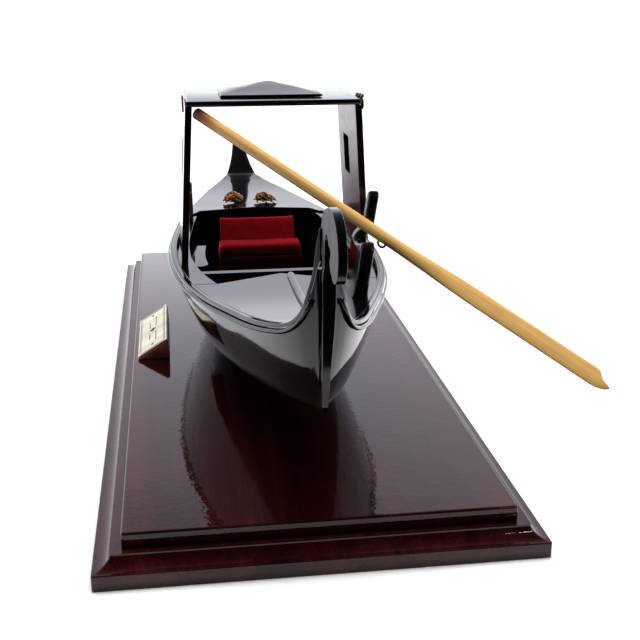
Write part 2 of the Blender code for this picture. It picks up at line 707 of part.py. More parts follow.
def make_roof_scrolls():
    """Thin carved strips on the outer faces at the roof's near corners, a wave along their upper edge."""
    gilt = material("dark_gilt", (0.10, 0.055, 0.03), 0.4, 0.6)
    length, count = 26 * MM, 26
    for side, name in ((-1, "port"), (1, "starboard")):
        outer, inner = [], []
        for i in range(count + 1):
            t = i / count
            y = CABIN_Y[0] + 0.5 * MM + length * t
            fade = 1 - 0.7 * t
            high = ROOF_TOP + (1.2 + 2.4 * fade * abs(math.cos(2.5 * math.pi * t))) * MM
            low = ROOF_TOP - (1.6 + 6.2 * fade * abs(math.cos(1.7 * math.pi * t))) * MM
            rows = [], []
            for z in (low, (low + high) / 2, high):
                x = WALL_TOP_HALF + 0.2 * MM + FIT + max(wall_outer(z) - WALL_TOP_HALF, 0)
                rows[0].append(Vector((side * (x + 1.3 * MM), y, z)))
                rows[1].append(Vector((side * x, y, z)))
            outer.append(rows[0])
            inner.append(rows[1])
        add_object("roof_scroll_" + name, two_skins(outer, inner), gilt, 50)


def make_deck_carvings():
    """Two gilded leaf carvings, low lobed mounds on the fore deck; the starboard one falls away outboard."""
    gilt = material("gilt_bronze", (0.45, 0.24, 0.11), 0.45, 0.8)
    y, half_y = 152 * MM, 5.4 * MM
    floor = edge_height(y - half_y) + 2 * FIT
    levels = ((0.0, 0.84), (1.6, 1.0), (4.4, 0.97), (6.8, 0.8), (8.2, 0.5))
    mounds = ((-14.0 * MM, 7.6 * MM, 0.0, "port"), (10.4 * MM, 8.8 * MM, 0.2, "starboard"))
    for centre_x, half_x, fall, name in mounds:
        rings = []
        for level, (z, size) in enumerate(levels):
            ring = []
            for i in range(20):
                turn = 2 * math.pi * i / 20
                wave = size * (1 + 0.12 * math.cos(5 * turn + level))
                height = z * (1 - fall * (1 + math.cos(turn))) * MM
                ring.append(Vector((centre_x + half_x * wave * math.cos(turn),
                                    y + half_y * wave * math.sin(turn), floor + height)))
            rings.append(ring)
        add_object("deck_carving_" + name, loft(rings), gilt, 60)


# ---------------------------------------------------------------- oar and rests

def make_rest(name, outline, deck_z, x_at_deck, side, thick, horn, lean, mat):
    """Oar rest: a side outline (y, z in mm), leaning outboard; horn is its (thickness, shift) above the crook."""
    sides = []
    for face in (-0.5, 0.5):
        ring = []
        for y, z in outline:
            above = smooth_step((z * MM - deck_z - REST_CROOK) / (6 * MM))
            thickness = thick + (horn[0] - thick) * above
            x = x_at_deck + lean * (z * MM - deck_z) + horn[1] * above + face * thickness
            ring.append(Vector((side * x, y * MM, z * MM)))
        sides.append(ring)
    bevel(add_object(name, loft(sides), mat), 0.7 * MM)


def rest_foot(y):
    """Height of the stern rest's foot, which stands on the aft deck, in mm."""
    return (edge_height(y * MM) - DECK_DROP + FIT) / MM


def make_rests():
    deck_z = edge_height(PIVOT.y) - DECK_DROP
    near_foot, far_foot = -125.2, -101
    stern = [(near_foot, rest_foot(near_foot)), (-126.8, 96), (-125.8, 107.5)]
    stern += arc((-120.6, 108.6), 5.2, 165, 60, 4)
    stern += [(-113.5, 111.8), (-106.5, 111.2)] + arc((-105.6, 116.0), 4.4, -60, -10, 2)
    stern += [(-100.8, 126)] + arc((-97.2, 132.4), 3.4, 165, 15, 4) + [(-93.4, 122), (-95.4, 106)]
    stern += [(-99.5, 94), (far_foot, rest_foot(far_foot))]
    make_rest("stern_oar_rest", stern, deck_z, STERN_REST_X, 1, REST_THICK,
              (REST_HORN_THICK, REST_HORN_OUT), REST_LEAN, black_lacquer())

    walnut = material("walnut", (0.12, 0.06, 0.035), 0.5)
    floor = side_deck_height(BOW_REST_Y) + 1.1 * MM
    middle, low = BOW_REST_Y / MM, floor / MM
    bow = [(middle - 6, low), (middle - 6.6, low + 10)] + arc((middle - 3.6, low + 17.4), 3.0, 170, 40, 3)
    bow += [(middle + 1, low + 16.2), (middle + 2.4, low + 19)]
    bow += arc((middle + 4.6, low + 23.4), 2.2, 150, 10, 3) + [(middle + 6.6, low + 14), (middle + 5.6, low)]
    make_rest("bow_oar_rest", bow, floor, BOW_REST_X, -1, BOW_REST_THICK, (BOW_REST_THICK, 0.0), 0.0, walnut)


def oar_frame():
    """Along the shaft, across the blade, and the blade's face normal."""
    along = (PIVOT - HANDLE_END).normalized()
    across = Vector((0, 0, 1)).cross(along).normalized()
    tilt = Matrix.Rotation(math.radians(38), 3, along)
    across = tilt @ across
    return along, across, along.cross(across)


def oar_half_sizes(distance):
    """Half width and half thickness of the oar at a distance from the pivot, blade side positive."""
    if distance < 12 * MM:
        return SHAFT_R, SHAFT_R
    t = smooth_step((distance - 12 * MM) / (58 * MM))
    return (SHAFT_R + (BLADE_HALF_WIDTH - SHAFT_R) * t, SHAFT_R + (BLADE_HALF_THICK - SHAFT_R) * t)


def make_oar():
    along, across, normal = oar_frame()
    pale_wood = material("pale_wood", (0.62, 0.38, 0.14), 0.4)
    rounded_tip = 7 * MM
    handle = (PIVOT - HANDLE_END).length
    distances = [-handle, -handle + 0.5 * MM] + stations(-100 * MM, 0.0, 5)
    distances += stations(12 * MM, BLADE_REACH - rounded_tip, 12)
    distances += [BLADE_REACH - rounded_tip * k for k in (0.7, 0.45, 0.25, 0.1, 0.0)]
    rings = []
    for distance in distances:
        half, thick = oar_half_sizes(distance)
        back = (distance - (BLADE_REACH - rounded_tip)) / rounded_tip
        if back > 0:
            half *= math.sqrt(1 - 0.96 * back * back)
        if distance <= -handle:
            half, thick = half * 0.86, thick * 0.86
        skew = 3.2 * MM
        ring = []
        for i in range(16):
            turn = 2 * math.pi * i / 16
            slip = skew * max(back, 0) * math.cos(turn)
            ring.append(PIVOT + along * (distance - slip) + across * half * math.cos(turn)
                        + normal * thick * math.sin(turn))
        rings.append(ring)
    add_object("oar", loft(rings), pale_wood, 60, PIVOT)


def make_wire_eye():
    """Small bent wire loop under the shaft, just outboard of the stern rest."""
    steel = material("dark_wire", (0.08, 0.07, 0.07), 0.35, 1.0)
    along = oar_frame()[0]
    down = (Vector((0, 0, -1)) - along * along.dot(Vector((0, 0, -1)))).normalized()
    side = along.cross(down)
    wire_r, count = 0.5 * MM, 20
    start = PIVOT + along * 8.4 * MM + down * (SHAFT_R + FIT + wire_r + 0.05 * MM)
    rings = []
    for i in range(count + 1):
        turn = math.radians(200 * i / count - 100)
        centre = start + along * 2.2 * MM * (1 + math.sin(turn)) + down * 2.0 * MM * (math.cos(turn) + 0.18)
        outward = (along * math.sin(turn) + down * math.cos(turn)).normalized()
        rings.append([centre + (outward * math.cos(a) + side * math.sin(a)) * wire_r
                      for a in (2 * math.pi * k / 8 for k in range(8))])
    add_object("oar_wire_eye", loft(rings), steel, 60, PIVOT)


def main():
    clear_scene()
    make_plinth()
    make_top_board()
    make_screws()
    make_nameplate()
    make_hull()
    make_mounting_blocks()
    make_stern_post()
    make_prow_post()
    make_caps_and_rails()
    make_side_decks()
    make_aft_deck()
    make_fore_deck()
    make_floor()
    make_crossbeam()
    make_batten()
    make_benches()
    make_seat()
    make_cabin_walls()
    make_roof()
    make_roof_scrolls()
    make_deck_carvings()
    make_rests()
    make_oar()
    make_wire_eye()


main()
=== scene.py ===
import json
import math
import random

import bmesh
import bpy
from mathutils import Matrix, Vector


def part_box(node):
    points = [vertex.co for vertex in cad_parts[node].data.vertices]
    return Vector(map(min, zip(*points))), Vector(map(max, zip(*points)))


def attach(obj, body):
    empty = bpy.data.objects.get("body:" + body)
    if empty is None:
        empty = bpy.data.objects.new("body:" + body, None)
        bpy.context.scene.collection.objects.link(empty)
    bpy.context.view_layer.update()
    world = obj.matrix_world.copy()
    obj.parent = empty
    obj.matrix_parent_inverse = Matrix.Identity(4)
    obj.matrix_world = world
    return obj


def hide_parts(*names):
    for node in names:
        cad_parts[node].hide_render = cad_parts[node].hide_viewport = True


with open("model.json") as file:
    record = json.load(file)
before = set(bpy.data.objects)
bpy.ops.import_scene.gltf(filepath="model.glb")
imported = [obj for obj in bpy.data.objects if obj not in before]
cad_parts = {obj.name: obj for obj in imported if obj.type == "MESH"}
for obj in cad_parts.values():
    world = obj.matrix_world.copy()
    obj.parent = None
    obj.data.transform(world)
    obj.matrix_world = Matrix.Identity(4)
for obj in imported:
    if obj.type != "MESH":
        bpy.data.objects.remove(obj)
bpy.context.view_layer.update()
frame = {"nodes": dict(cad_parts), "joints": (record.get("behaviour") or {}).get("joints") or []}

# Looks of the display gondola. Everything is in metres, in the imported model's frame:
# +Y runs along the boat to its prow, +X to starboard, +Z up.

MM = 0.001
FIT = 0.3 * MM                      # gap between neighbours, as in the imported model

# ---- hull lines: y, half beam, height of the finished edge, in mm
HULL_TABLE = (
    (-230.2, 3.9, 136.5), (-229.2, 5.0, 130.5), (-227.2, 7.3, 122), (-223.4, 10.6, 113),
    (-216.5, 14.8, 106.8), (-206, 20.0, 102.8), (-190, 26.4, 98.6), (-168, 33.6, 94.8),
    (-124, 46.6, 89.6), (-75, 57.6, 87.2), (-12, 62.2, 85.9), (56, 58.2, 83.4), (110, 51.4, 80.8),
    (150, 43.8, 79.0), (205, 32.0, 77.6), (245, 19.2, 78.4), (262, 13.6, 79.7))
WELL_EDGE = ((-80, 36.8), (-68.6, 40.2), (-54.8, 43.8), (-34.6, 47.4), (-11, 49.6), (24, 49.8),
             (62.6, 47.6), (106, 42.6))
EDGE_DROP = 2.0 * MM                # the shell's rim lies this far below the finished edge
KEEL_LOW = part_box("hull")[0].z
KEEL_LOW_Y = 42 * MM
KEEL_RISE = 50 * MM
KEEL_SWEEPS = (1.75, 1.9)           # powers of the keel's rise, aft and forward of its lowest place
STERN_FOOT = (-236.8 * MM, 70.6 * MM)
STERN_RAKE = 0.247                  # lean of the aft stations for each unit of height
RAKE_TOP = 118 * MM                 # above this the hull's aft end stands upright
PROW_FOOT_Z = 51.8 * MM
PROW_FOOT_REACH = 0.35              # the fin's foot runs on forward of its top by this share
HULL_SKIN = 3.0 * MM
HOLLOW_Y = (-206 * MM, 248 * MM)
STATION_STEP = 3.2 * MM
RIBS = 26

DECK_THICK = 1.6 * MM
DECK_DROP = 4.4 * MM
CAP_WIDTH = 4.2 * MM
CAP_THICK = 1.7 * MM
FORE_DECK_Y = 106 * MM
FORE_DECK_NOTCH = ((46, 0), (42, 14), (0, 25))
FORE_DECK_END = 261.7 * MM
AFT_DECK_Y = (-203 * MM, -80 * MM)
AFT_DECK_BOW = 19 * MM
RAIL_Y = (258 * MM, -227.6 * MM)
RAIL_WIDTH = 1.2 * MM
RAIL_HEIGHT = 2.0 * MM
EDGE_STEPS = 190                    # steps along a cap or a rail
CAP_END_WIDTH = 1.2 * MM            # the caps narrow to this beside the scroll
CAP_NARROWS = (108 * MM, 134 * MM)  # between these heights
CAP_TIPS = ((3.55, -241.1, 138.5, 2.7), (3.2, -240.9, 142.5, 2.2), (2.7, -240.3, 147.0, 1.4),
            (2.25, -239.6, 150.5, 0.5))         # x, y, z and thickness beside the scroll
EDGE_CROWDING = 2.2                 # how closely the steps crowd towards the stern
BENCH_Y = (8 * MM, 62 * MM)
BENCH_INNER = 38 * MM
BENCH_CORNER = 7 * MM
SCROLL_LOW = 128 * MM               # above this the stern post's cheeks are satin

WALL_THICK = 3.8 * MM
WALL_FOOT = (82.6 * MM, 55.7 * MM)  # height and half width of the cabin's outside at the foot
WALL_TOP = (176.8 * MM, 50.0 * MM)
WINDOW_Y = (-6 * MM, 13 * MM)
WINDOW_Z = (128 * MM, 151 * MM)
PIN_HOLE = (24 * MM, 139.7 * MM)
PIN_RADIUS = 0.8 * MM
STERN_REST_X = 34.2 * MM
REST_THICK = 7.2 * MM
REST_HORN = (5.6 * MM, 4.0 * MM)    # thickness and shift outboard of the rest above its crook
REST_LEAN = 0.158
BOW_REST_X = 47 * MM
BOW_REST_THICK = 2.8 * MM
CROOK = 28 * MM                     # height of the crook above the rest's foot

FLOOR_FRONT = 0.32                  # how far in front of the model's middle the paper goes
FLOOR_HALF = 0.75
CAMERA_AT = (-0.059, -0.6404, 0.2464)
CAMERA_TURN = (71.71, 0, -8.03)     # in degrees
CAMERA_LENS = 59.44

PIVOT = Vector(frame["joints"][0]["pos_m"])           # where the shaft crosses the stern rest
ALONG = Vector(frame["joints"][0]["axis"]).normalized()
HANDLE_REACH = (PIVOT - Vector((-43.6, -37.0, 170.3)) * MM).length + 0.9 * MM
BLADE_REACH = 143.5 * MM
SHAFT_R = 3.2 * MM
BLADE_HALF_WIDTH = 4.9 * MM
BLADE_HALF_THICK = 1.1 * MM
BLADE_START = 12 * MM               # the shaft stays round up to here
BLADE_FLATTENS = 58 * MM
BLADE_TILT = math.radians(38)
WIRE_R = 0.6 * MM
SIDES = ((-1, "port"), (1, "starboard"))
SCREWS = [f"board_screw_{i}" for i in (1, 2, 3, 4)] + ["hull_screw_1", "hull_screw_2"]


# ---------------------------------------------------------------- node trees

def add(tree, kind, inputs=None, **settings):
    """New shader node; an input is a value, or another node's output to link."""
    node = tree.nodes.new("ShaderNode" + kind)
    for key, value in settings.items():
        setattr(node, key, value)
    for key, value in (inputs or {}).items():
        if isinstance(value, bpy.types.NodeSocket):
            tree.links.new(value, node.inputs[key])
        else:
            node.inputs[key].default_value = value
    return node


def new_material(name, sockets):
    mat = bpy.data.materials.new(name)
    mat.use_nodes = True
    shader = mat.node_tree.nodes["Principled BSDF"]
    for key, value in sockets.items():
        shader.inputs[key].default_value = value
    return mat, mat.node_tree, shader


def place(tree, stretch=(1, 1, 1)):
    """The surface's own place in metres, stretched for grain."""
    coords = add(tree, "TexCoord").outputs["Object"]
    return add(tree, "Mapping", {"Vector": coords, "Scale": stretch}).outputs["Vector"]


def grain(tree, vector, scale, detail=3.0, roughness=0.5, distortion=0.0):
    node = add(tree, "TexNoise", {"Vector": vector, "Scale": scale, "Detail": detail,
                                  "Roughness": roughness, "Distortion": distortion})
    return node.outputs["Fac"]


def ramp(tree, value, stops):
    """Colour or grey ramp; a stop is (place, grey) or (place, (r, g, b))."""
    node = add(tree, "ValToRGB", {"Fac": value})
    line = node.color_ramp
    while len(line.elements) < len(stops):
        line.elements.new(0.5)
    for element, (where, colour) in zip(line.elements, stops):
        element.position = where
        colour = (colour,) * 3 if isinstance(colour, (int, float)) else colour
        element.color = (*colour, 1.0)
    return node.outputs["Color"]


def spread(tree, value, low, high, start=0.0, end=1.0):
    node = add(tree, "MapRange", {"Value": value, "From Min": start, "From Max": end,
                                  "To Min": low, "To Max": high})
    return node.outputs["Result"]


def mix(tree, factor, first, second, blend="MIX"):
    node = add(tree, "Mix", data_type="RGBA", blend_type=blend)
    for socket, value in zip((node.inputs[0], node.inputs[6], node.inputs[7]), (factor, first, second)):
        if isinstance(value, bpy.types.NodeSocket):
            tree.links.new(value, socket)
        elif isinstance(value, (int, float)):
            socket.default_value = value
        else:
            socket.default_value = (*value, 1.0)
    return node.outputs[2]


def math_node(tree, operation, first, second):
    return add(tree, "Math", {0: first, 1: second}, operation=operation).outputs[0]


def bump(tree, height, depth, normal=None):
    inputs = {"Height": height, "Distance": depth, "Strength": 1.0}
    if normal is not None:
        inputs["Normal"] = normal
    return add(tree, "Bump", inputs).outputs["Normal"]


def finish_material(tree, shader, colour=None, roughness=None, normal=None, coat=False):
    for key, value in (("Base Color", colour), ("Roughness", roughness), ("Normal", normal)):
        if value is not None:
            tree.links.new(value, shader.inputs[key])
    if coat:
        tree.links.new(normal, shader.inputs["Coat Normal"])


# ---------------------------------------------------------------- materials

def lacquer(name, deep, light, peel=0.012, carved=0.0, haze=0.0):
    """High-gloss lacquer: faint cloudiness in the colour, orange peel and polishing haze in the gloss."""
    mat, tree, shader = new_material(name, {"IOR": 1.52})
    cloud = grain(tree, place(tree), 55, 4)
    wood = grain(tree, place(tree, (1, 0.08, 1)), 900, 3, 0.6)
    colour = ramp(tree, mix(tree, 0.35, cloud, wood), ((0.35, deep), (0.7, light)))
    smear = grain(tree, place(tree), 160, 5, 0.6)
    normal = bump(tree, grain(tree, place(tree), 420, 2), peel * MM)
    normal = bump(tree, grain(tree, place(tree, (1, 0.25, 1)), 45, 1), 0.04 * MM, normal)
    if carved:
        normal = bump(tree, grain(tree, place(tree), 700, 3, 0.6), carved * MM, normal)
    gloss = spread(tree, smear, 0.035 + haze, 0.11 + haze, 0.35, 0.7)
    finish_material(tree, shader, colour, gloss, normal)
    return mat


def varnished_mahogany():
    """Dark red-brown wood with long grain and pores under a thick clear varnish."""
    mat, tree, shader = new_material("mahogany", {"Coat Weight": 1.0, "Coat Roughness": 0.045,
                                                  "Coat IOR": 1.5, "Specular IOR Level": 0.0})
    ribbon = grain(tree, place(tree, (1, 0.05, 1)), 60, 4, 0.6, 0.4)
    fibre = grain(tree, place(tree, (1, 0.03, 1)), 900, 4, 0.7)
    colour = ramp(tree, ribbon, ((0.3, (0.018, 0.0025, 0.004)), (0.52, (0.036, 0.005, 0.0065)),
                                 (0.74, (0.062, 0.011, 0.010))))
    colour = mix(tree, 0.55, colour, ramp(tree, fibre, ((0.36, 0.35), (0.62, 1.0))), "MULTIPLY")
    normal = bump(tree, grain(tree, place(tree), 330, 2, 0.5), 0.06 * MM)
    finish_material(tree, shader, colour, spread(tree, fibre, 0.3, 0.55), normal, coat=True)
    return mat


def plain_wood(name, dark, middle, light, roughness, stretch=(1, 0.05, 1), gloss=0.0, pores=0.35):
    """Wood with fibres along the least stretched axis."""
    mat, tree, shader = new_material(name, {"Coat Weight": gloss, "Coat Roughness": 0.12})
    ribbon = grain(tree, place(tree, stretch), 130, 5, 0.65, 0.6)
    fibre = grain(tree, place(tree, tuple(s * 0.6 if s < 1 else s for s in stretch)), 1400, 3, 0.7)
    colour = ramp(tree, ribbon, ((0.3, dark), (0.5, middle), (0.72, light)))
    colour = mix(tree, pores, colour, ramp(tree, fibre, ((0.35, 0.3), (0.6, 1.0))), "MULTIPLY")
    normal = bump(tree, fibre, 0.05 * MM)
    finish_material(tree, shader, colour, spread(tree, fibre, roughness + 0.12, roughness), normal)
    return mat


def oar_wood():
    """Varnished tan wood along the oar's own X; the colour darkens towards the handle end."""
    mat, tree, shader = new_material("pale_wood", {"Coat Weight": 0.35, "Coat Roughness": 0.15})
    ribbon = grain(tree, place(tree, (0.025, 1, 1)), 700, 5, 0.65, 0.5)
    fibre = grain(tree, place(tree, (0.03, 1, 1)), 2200, 3, 0.7)
    colour = ramp(tree, ribbon, ((0.3, (0.56, 0.315, 0.09)), (0.52, (0.66, 0.40, 0.135)),
                                 (0.75, (0.74, 0.48, 0.19))))
    colour = mix(tree, 0.25, colour, ramp(tree, fibre, ((0.35, 0.45), (0.6, 1.0))), "MULTIPLY")
    along = add(tree, "SeparateXYZ", {"Vector": place(tree)}).outputs["X"]
    wobble = math_node(tree, "MULTIPLY", grain(tree, place(tree, (0.3, 1, 1)), 240, 3), 10 * MM)
    # Darker towards the handle end, from 3 to 24 mm along the shaft from it.
    darkening = spread(tree, math_node(tree, "ADD", along, wobble), 0.0, 1.0, -HANDLE_REACH + 3 * MM,
                  -HANDLE_REACH + 24 * MM)
    handle_tone = ramp(tree, darkening, ((0.16, (0.012, 0.008, 0.008)), (0.34, (0.16, 0.045, 0.02)),
                              (0.62, (0.62, 0.45, 0.32)), (1.0, 1.0)))
    colour = mix(tree, 1.0, colour, handle_tone, "MULTIPLY")
    normal = bump(tree, fibre, 0.04 * MM)
    finish_material(tree, shader, colour, spread(tree, fibre, 0.5, 0.36), normal)
    return mat


def velvet():
    """Short pile: lit edges through sheen, crushed patches, fine tufts."""
    mat, tree, shader = new_material("red_velvet", {
        "Sheen Weight": 0.75, "Sheen Roughness": 0.35, "Sheen Tint": (1.0, 0.16, 0.2, 1.0),
        "Specular IOR Level": 0.15})
    crush = grain(tree, place(tree), 110, 3, 0.5)
    pile = grain(tree, place(tree), 2300, 2, 0.6)
    colour = ramp(tree, crush, ((0.3, (0.17, 0.0025, 0.008)), (0.5, (0.20, 0.003, 0.009)),
                                (0.7, (0.235, 0.004, 0.011))))
    colour = mix(tree, 0.7, colour, ramp(tree, pile, ((0.36, 0.25), (0.6, 1.0))), "MULTIPLY")
    normal = bump(tree, pile, 0.16 * MM)
    normal = bump(tree, crush, 0.15 * MM, normal)
    finish_material(tree, shader, colour, spread(tree, pile, 0.95, 0.8), normal)
    return mat


def metal(name, dark, light, roughness, scale=250, depth=0.03, darkening=True, stretch=(1, 1, 1)):
    """Metal or gilding; if asked, hollows get painted shade and raised places a painted highlight, by the
    surface's pointiness.
    """
    mat, tree, shader = new_material(name, {"Metallic": 1.0})
    blotch = grain(tree, place(tree, stretch), scale, 4, 0.6)
    value = blotch
    if darkening:
        # Painted shade and highlight: low pointiness (hollows) goes towards the dark colour as shade, high
        # pointiness (raised places) towards the light colour as a highlight.
        edges = spread(tree, add(tree, "NewGeometry").outputs["Pointiness"], 0.0, 1.0, 0.44, 0.56)
        value = math_node(tree, "MULTIPLY", edges, spread(tree, blotch, 0.55, 1.25))
    colour = ramp(tree, value, ((0.25, dark), (0.7, light)))
    normal = bump(tree, grain(tree, place(tree, stretch), scale * 4, 3), depth * MM)
    finish_material(tree, shader, colour, spread(tree, blotch, roughness + 0.1, roughness - 0.08), normal)
    return mat


def make_materials():
    return {
        "black": lacquer("black_lacquer", (0.0035, 0.0035, 0.0045), (0.009, 0.0085, 0.010)),
        "satin": lacquer("satin_lacquer", (0.022, 0.022, 0.027), (0.04, 0.039, 0.047), 0.05, 0.05, 0.36),
        "carved": lacquer("carved_lacquer", (0.004, 0.0035, 0.004), (0.014, 0.010, 0.009), 0.1, 0.16),
        "lining": lacquer("burgundy_lining", (0.17, 0.05, 0.08), (0.27, 0.10, 0.14), haze=0.12),
        "maroon": lacquer("dark_maroon", (0.06, 0.006, 0.009), (0.12, 0.013, 0.018)),
        "mahogany": varnished_mahogany(),
        "oar": oar_wood(),
        "velvet": velvet(),
        "walnut": plain_wood("walnut", (0.03, 0.014, 0.008), (0.085, 0.04, 0.02), (0.19, 0.10, 0.05),
                             0.35, (1, 1, 0.08), 0.4),
        "rosewood": plain_wood("rosewood", (0.16, 0.045, 0.024), (0.34, 0.11, 0.06), (0.50, 0.20, 0.12),
                               0.4, (1, 0.08, 1), 0.2, 0.6),
        "raw_wood": plain_wood("raw_wood", (0.36, 0.22, 0.11), (0.52, 0.36, 0.20), (0.66, 0.50, 0.31),
                               0.6, (0.06, 1, 1)),
        "brass": metal("brass", (0.56, 0.48, 0.33), (0.88, 0.80, 0.62), 0.34, 90, 0.01, False,
                       (1, 0.1, 1)),
        "engraving": metal("dark_engraving", (0.05, 0.04, 0.03), (0.16, 0.13, 0.09), 0.5, 600, 0.02,
                           False),
        # dark_gilt and gilt_bronze carry painted shade in their hollows and a painted highlight on raised
        # places.
        "dark_gilt": metal("dark_gilt", (0.008, 0.005, 0.004), (0.14, 0.075, 0.04), 0.36, 500),
        "bronze": metal("gilt_bronze", (0.07, 0.024, 0.011), (0.92, 0.52, 0.25), 0.36, 380),
        "wire": metal("dark_wire", (0.03, 0.026, 0.026), (0.12, 0.11, 0.11), 0.35, 900, 0.02, False),
        "steel": metal("zinc_steel", (0.42, 0.41, 0.38), (0.74, 0.73, 0.70), 0.32, 700, 0.02, False),
    }


# ---------------------------------------------------------------- curves and meshes

def smooth_line(points, per, closed=False):
    """Centripetal Catmull-Rom curve through the points, with so many steps for each span."""
    points = [Vector(p) for p in points]
    count = len(points)
    line = []
    for i in range(count if closed else count - 1):
        b, c = points[i], points[(i + 1) % count]
        a = points[i - 1] if closed or i else b * 2 - c
        d = points[(i + 2) % count] if closed or i + 2 < count else c * 2 - b
        knots = [0.0]
        for p, q in ((a, b), (b, c), (c, d)):
            knots.append(knots[-1] + max((q - p).length, 1e-9) ** 0.5)
        for k in range(per):
            line.append(curve_point((a, b, c, d), knots, knots[1] + (knots[2] - knots[1]) * k / per))
    return line if closed else line + [points[-1]]


def curve_point(points, knots, t):
    """Point between the second and third of four points, by repeated blending."""
    level = list(points)
    for span in (1, 2, 3):
        for i in range(4 - span):
            first, last = (1, 2) if span == 3 else (i, i + span)
            share = (t - knots[first]) / (knots[last] - knots[first])
            level[i] = level[i] * (1 - share) + level[i + 1] * share
    return level[0]


def arc(centre, radius, start, end, count):
    angles = [math.radians(a) for a in evenly(start, end, count)]
    return [(centre[0] + radius * math.cos(a), centre[1] + radius * math.sin(a)) for a in angles]


def turns(count):
    """Angles evenly round a circle."""
    return [2 * math.pi * i / count for i in range(count)]


def circle(x, y, z, radius, count=32):
    return [Vector((x + radius * math.cos(a), y + radius * math.sin(a), z)) for a in turns(count)]


def eased_edge(inward, drop, top, degrees):
    """(inset, z) steps of a rounded upper edge, from its side to its top."""
    angles = [math.radians(a) for a in degrees]
    return [(inward * (1 - math.cos(a)), top - drop * (1 - math.sin(a))) for a in angles]


def smooth_step(value):
    value = min(max(value, 0.0), 1.0)
    return value * value * (3 - 2 * value)


def evenly(start, end, count):
    return [start + (end - start) * i / count for i in range(count + 1)]


def skin(bm, rows, closed=False):
    """Quads through rows of points; gives back the rows of vertices."""
    verts = [[bm.verts.new(point) for point in row] for row in rows]
    count = len(rows[0])
    for near, far in zip(verts, verts[1:]):
        for j in range(count if closed else count - 1):
            k = (j + 1) % count
            bm.faces.new((near[j], near[k], far[k], far[j]))
    return verts


def loft(rings, bm=None):
    """Closed body through rings of equal length, capped at both ends; in a new mesh unless one is given."""
    bm = bmesh.new() if bm is None else bm
    verts = skin(bm, rings, closed=True)
    bm.faces.new(verts[0])
    bm.faces.new(reversed(verts[-1]))
    return bm


def two_skins(outer, inner):
    """Closed body between two point grids of equal size."""
    bm = bmesh.new()
    top, low = skin(bm, outer), skin(bm, inner)
    rows, columns = len(top), len(top[0])
    for i in range(rows - 1):
        for j in (0, columns - 1):
            bm.faces.new((top[i][j], top[i + 1][j], low[i + 1][j], low[i][j]))
    for j in range(columns - 1):
        for i in (0, rows - 1):
            bm.faces.new((top[i][j], top[i][j + 1], low[i][j + 1], low[i][j]))
    return bm


def slab(rows, thickness):
    drop = Vector((0, 0, -thickness))
    return two_skins(rows, [[point + drop for point in row] for row in rows])


def block(low, high):
    bm = bmesh.new()
    low, high = Vector(low), Vector(high)
    bmesh.ops.create_cube(bm, size=1.0)
    bmesh.ops.scale(bm, verts=bm.verts, vec=high - low)
    bmesh.ops.translate(bm, verts=bm.verts, vec=(low + high) / 2)
    return bm


def plate(outline, edge, middle, half_width, levels):
    """Upright board in the Y-Z plane with rounded edges; its middle and half width follow the height."""
    bm = loft([[Vector((side, y, z)) for y, z in outline] for side in (-1, 1)])
    bmesh.ops.recalc_face_normals(bm, faces=bm.faces)
    rims = [e for e in bm.edges if abs(e.verts[0].co.x - e.verts[1].co.x) < 0.5]
    for vert in bm.verts:
        vert.co.x *= half_width(vert.co.z)
    bmesh.ops.bevel(bm, geom=rims, offset=edge, segments=4, profile=0.5, affect="EDGES",
                    clamp_overlap=True)
    for level in levels:
        bmesh.ops.bisect_plane(bm, geom=[*bm.verts, *bm.edges, *bm.faces], dist=1e-7,
                               plane_co=(0, 0, level), plane_no=(0, 0, 1))
    for vert in bm.verts:
        vert.co.x += middle(vert.co.z)
    return bm


def bake_modifiers(obj):
    graph = bpy.context.evaluated_depsgraph_get()
    mesh = bpy.data.meshes.new_from_object(obj.evaluated_get(graph))
    obj.modifiers.clear()
    obj.data = mesh


def even_skin(obj, voxel, rounds):
    """Melt an object's bodies into one skin of even faces, relaxed for some rounds."""
    remesh = obj.modifiers.new("voxels", "REMESH")
    remesh.mode, remesh.voxel_size = "VOXEL", voxel
    relax = obj.modifiers.new("relax", "SMOOTH")
    relax.factor, relax.iterations = 0.5, rounds
    bake_modifiers(obj)


def join_scene(name, data):
    obj = bpy.data.objects.new(name, data)
    bpy.context.scene.collection.objects.link(obj)
    return obj


def new_object(name, bm, *materials):
    bmesh.ops.recalc_face_normals(bm, faces=bm.faces)
    mesh = bpy.data.meshes.new(name)
    bm.to_mesh(mesh)
    bm.free()
    for mat in materials:
        mesh.materials.append(mat)
    mesh.shade_smooth()
    return join_scene(name, mesh)


def soften(obj, width):
    """Round the sharp edges and keep the large faces flat to the eye."""
    modifier = obj.modifiers.new("soft_edges", "BEVEL")
    modifier.width, modifier.segments = width, 3
    modifier.limit_method, modifier.angle_limit = "ANGLE", math.radians(35)
    modifier.harden_normals = True


def cut(obj, cutters):
    """Take the cutter bodies out of an object."""
    for bm in cutters:
        tool = new_object("tool", bm)
        modifier = obj.modifiers.new("cut", "BOOLEAN")
        modifier.object = tool
        bake_modifiers(obj)
        bpy.data.objects.remove(tool, do_unlink=True)


def settle(obj, slot, *nodes, body="root"):
    """The piece rides on a body and stands in for its nodes; its slot is not used."""
    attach(obj, body)
    if nodes:
        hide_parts(*nodes)


def shaped(name, bm, mat, slot, node, edge=0.0, sharp=40, flat=False, at=None, body="root"):
    """The usual piece: one mesh, one material, soft or crisp edges, in place of one node."""
    obj = new_object(name, bm, mat)
    if at is not None:
        obj.matrix_world = at
    if flat:
        obj.modifiers.new("flat_faces", "WEIGHTED_NORMAL").weight = 90
    if edge:
        soften(obj, edge)
    else:
        obj.data.set_sharp_from_angle(angle=math.radians(sharp))
    settle(obj, slot, node, body=body)
    return obj


def lacquered(name, bm, mats, node, **edges):
    return shaped(name, bm, mats["black"], "black_lacquer", node, **edges)


# ---------------------------------------------------------------- hull lines

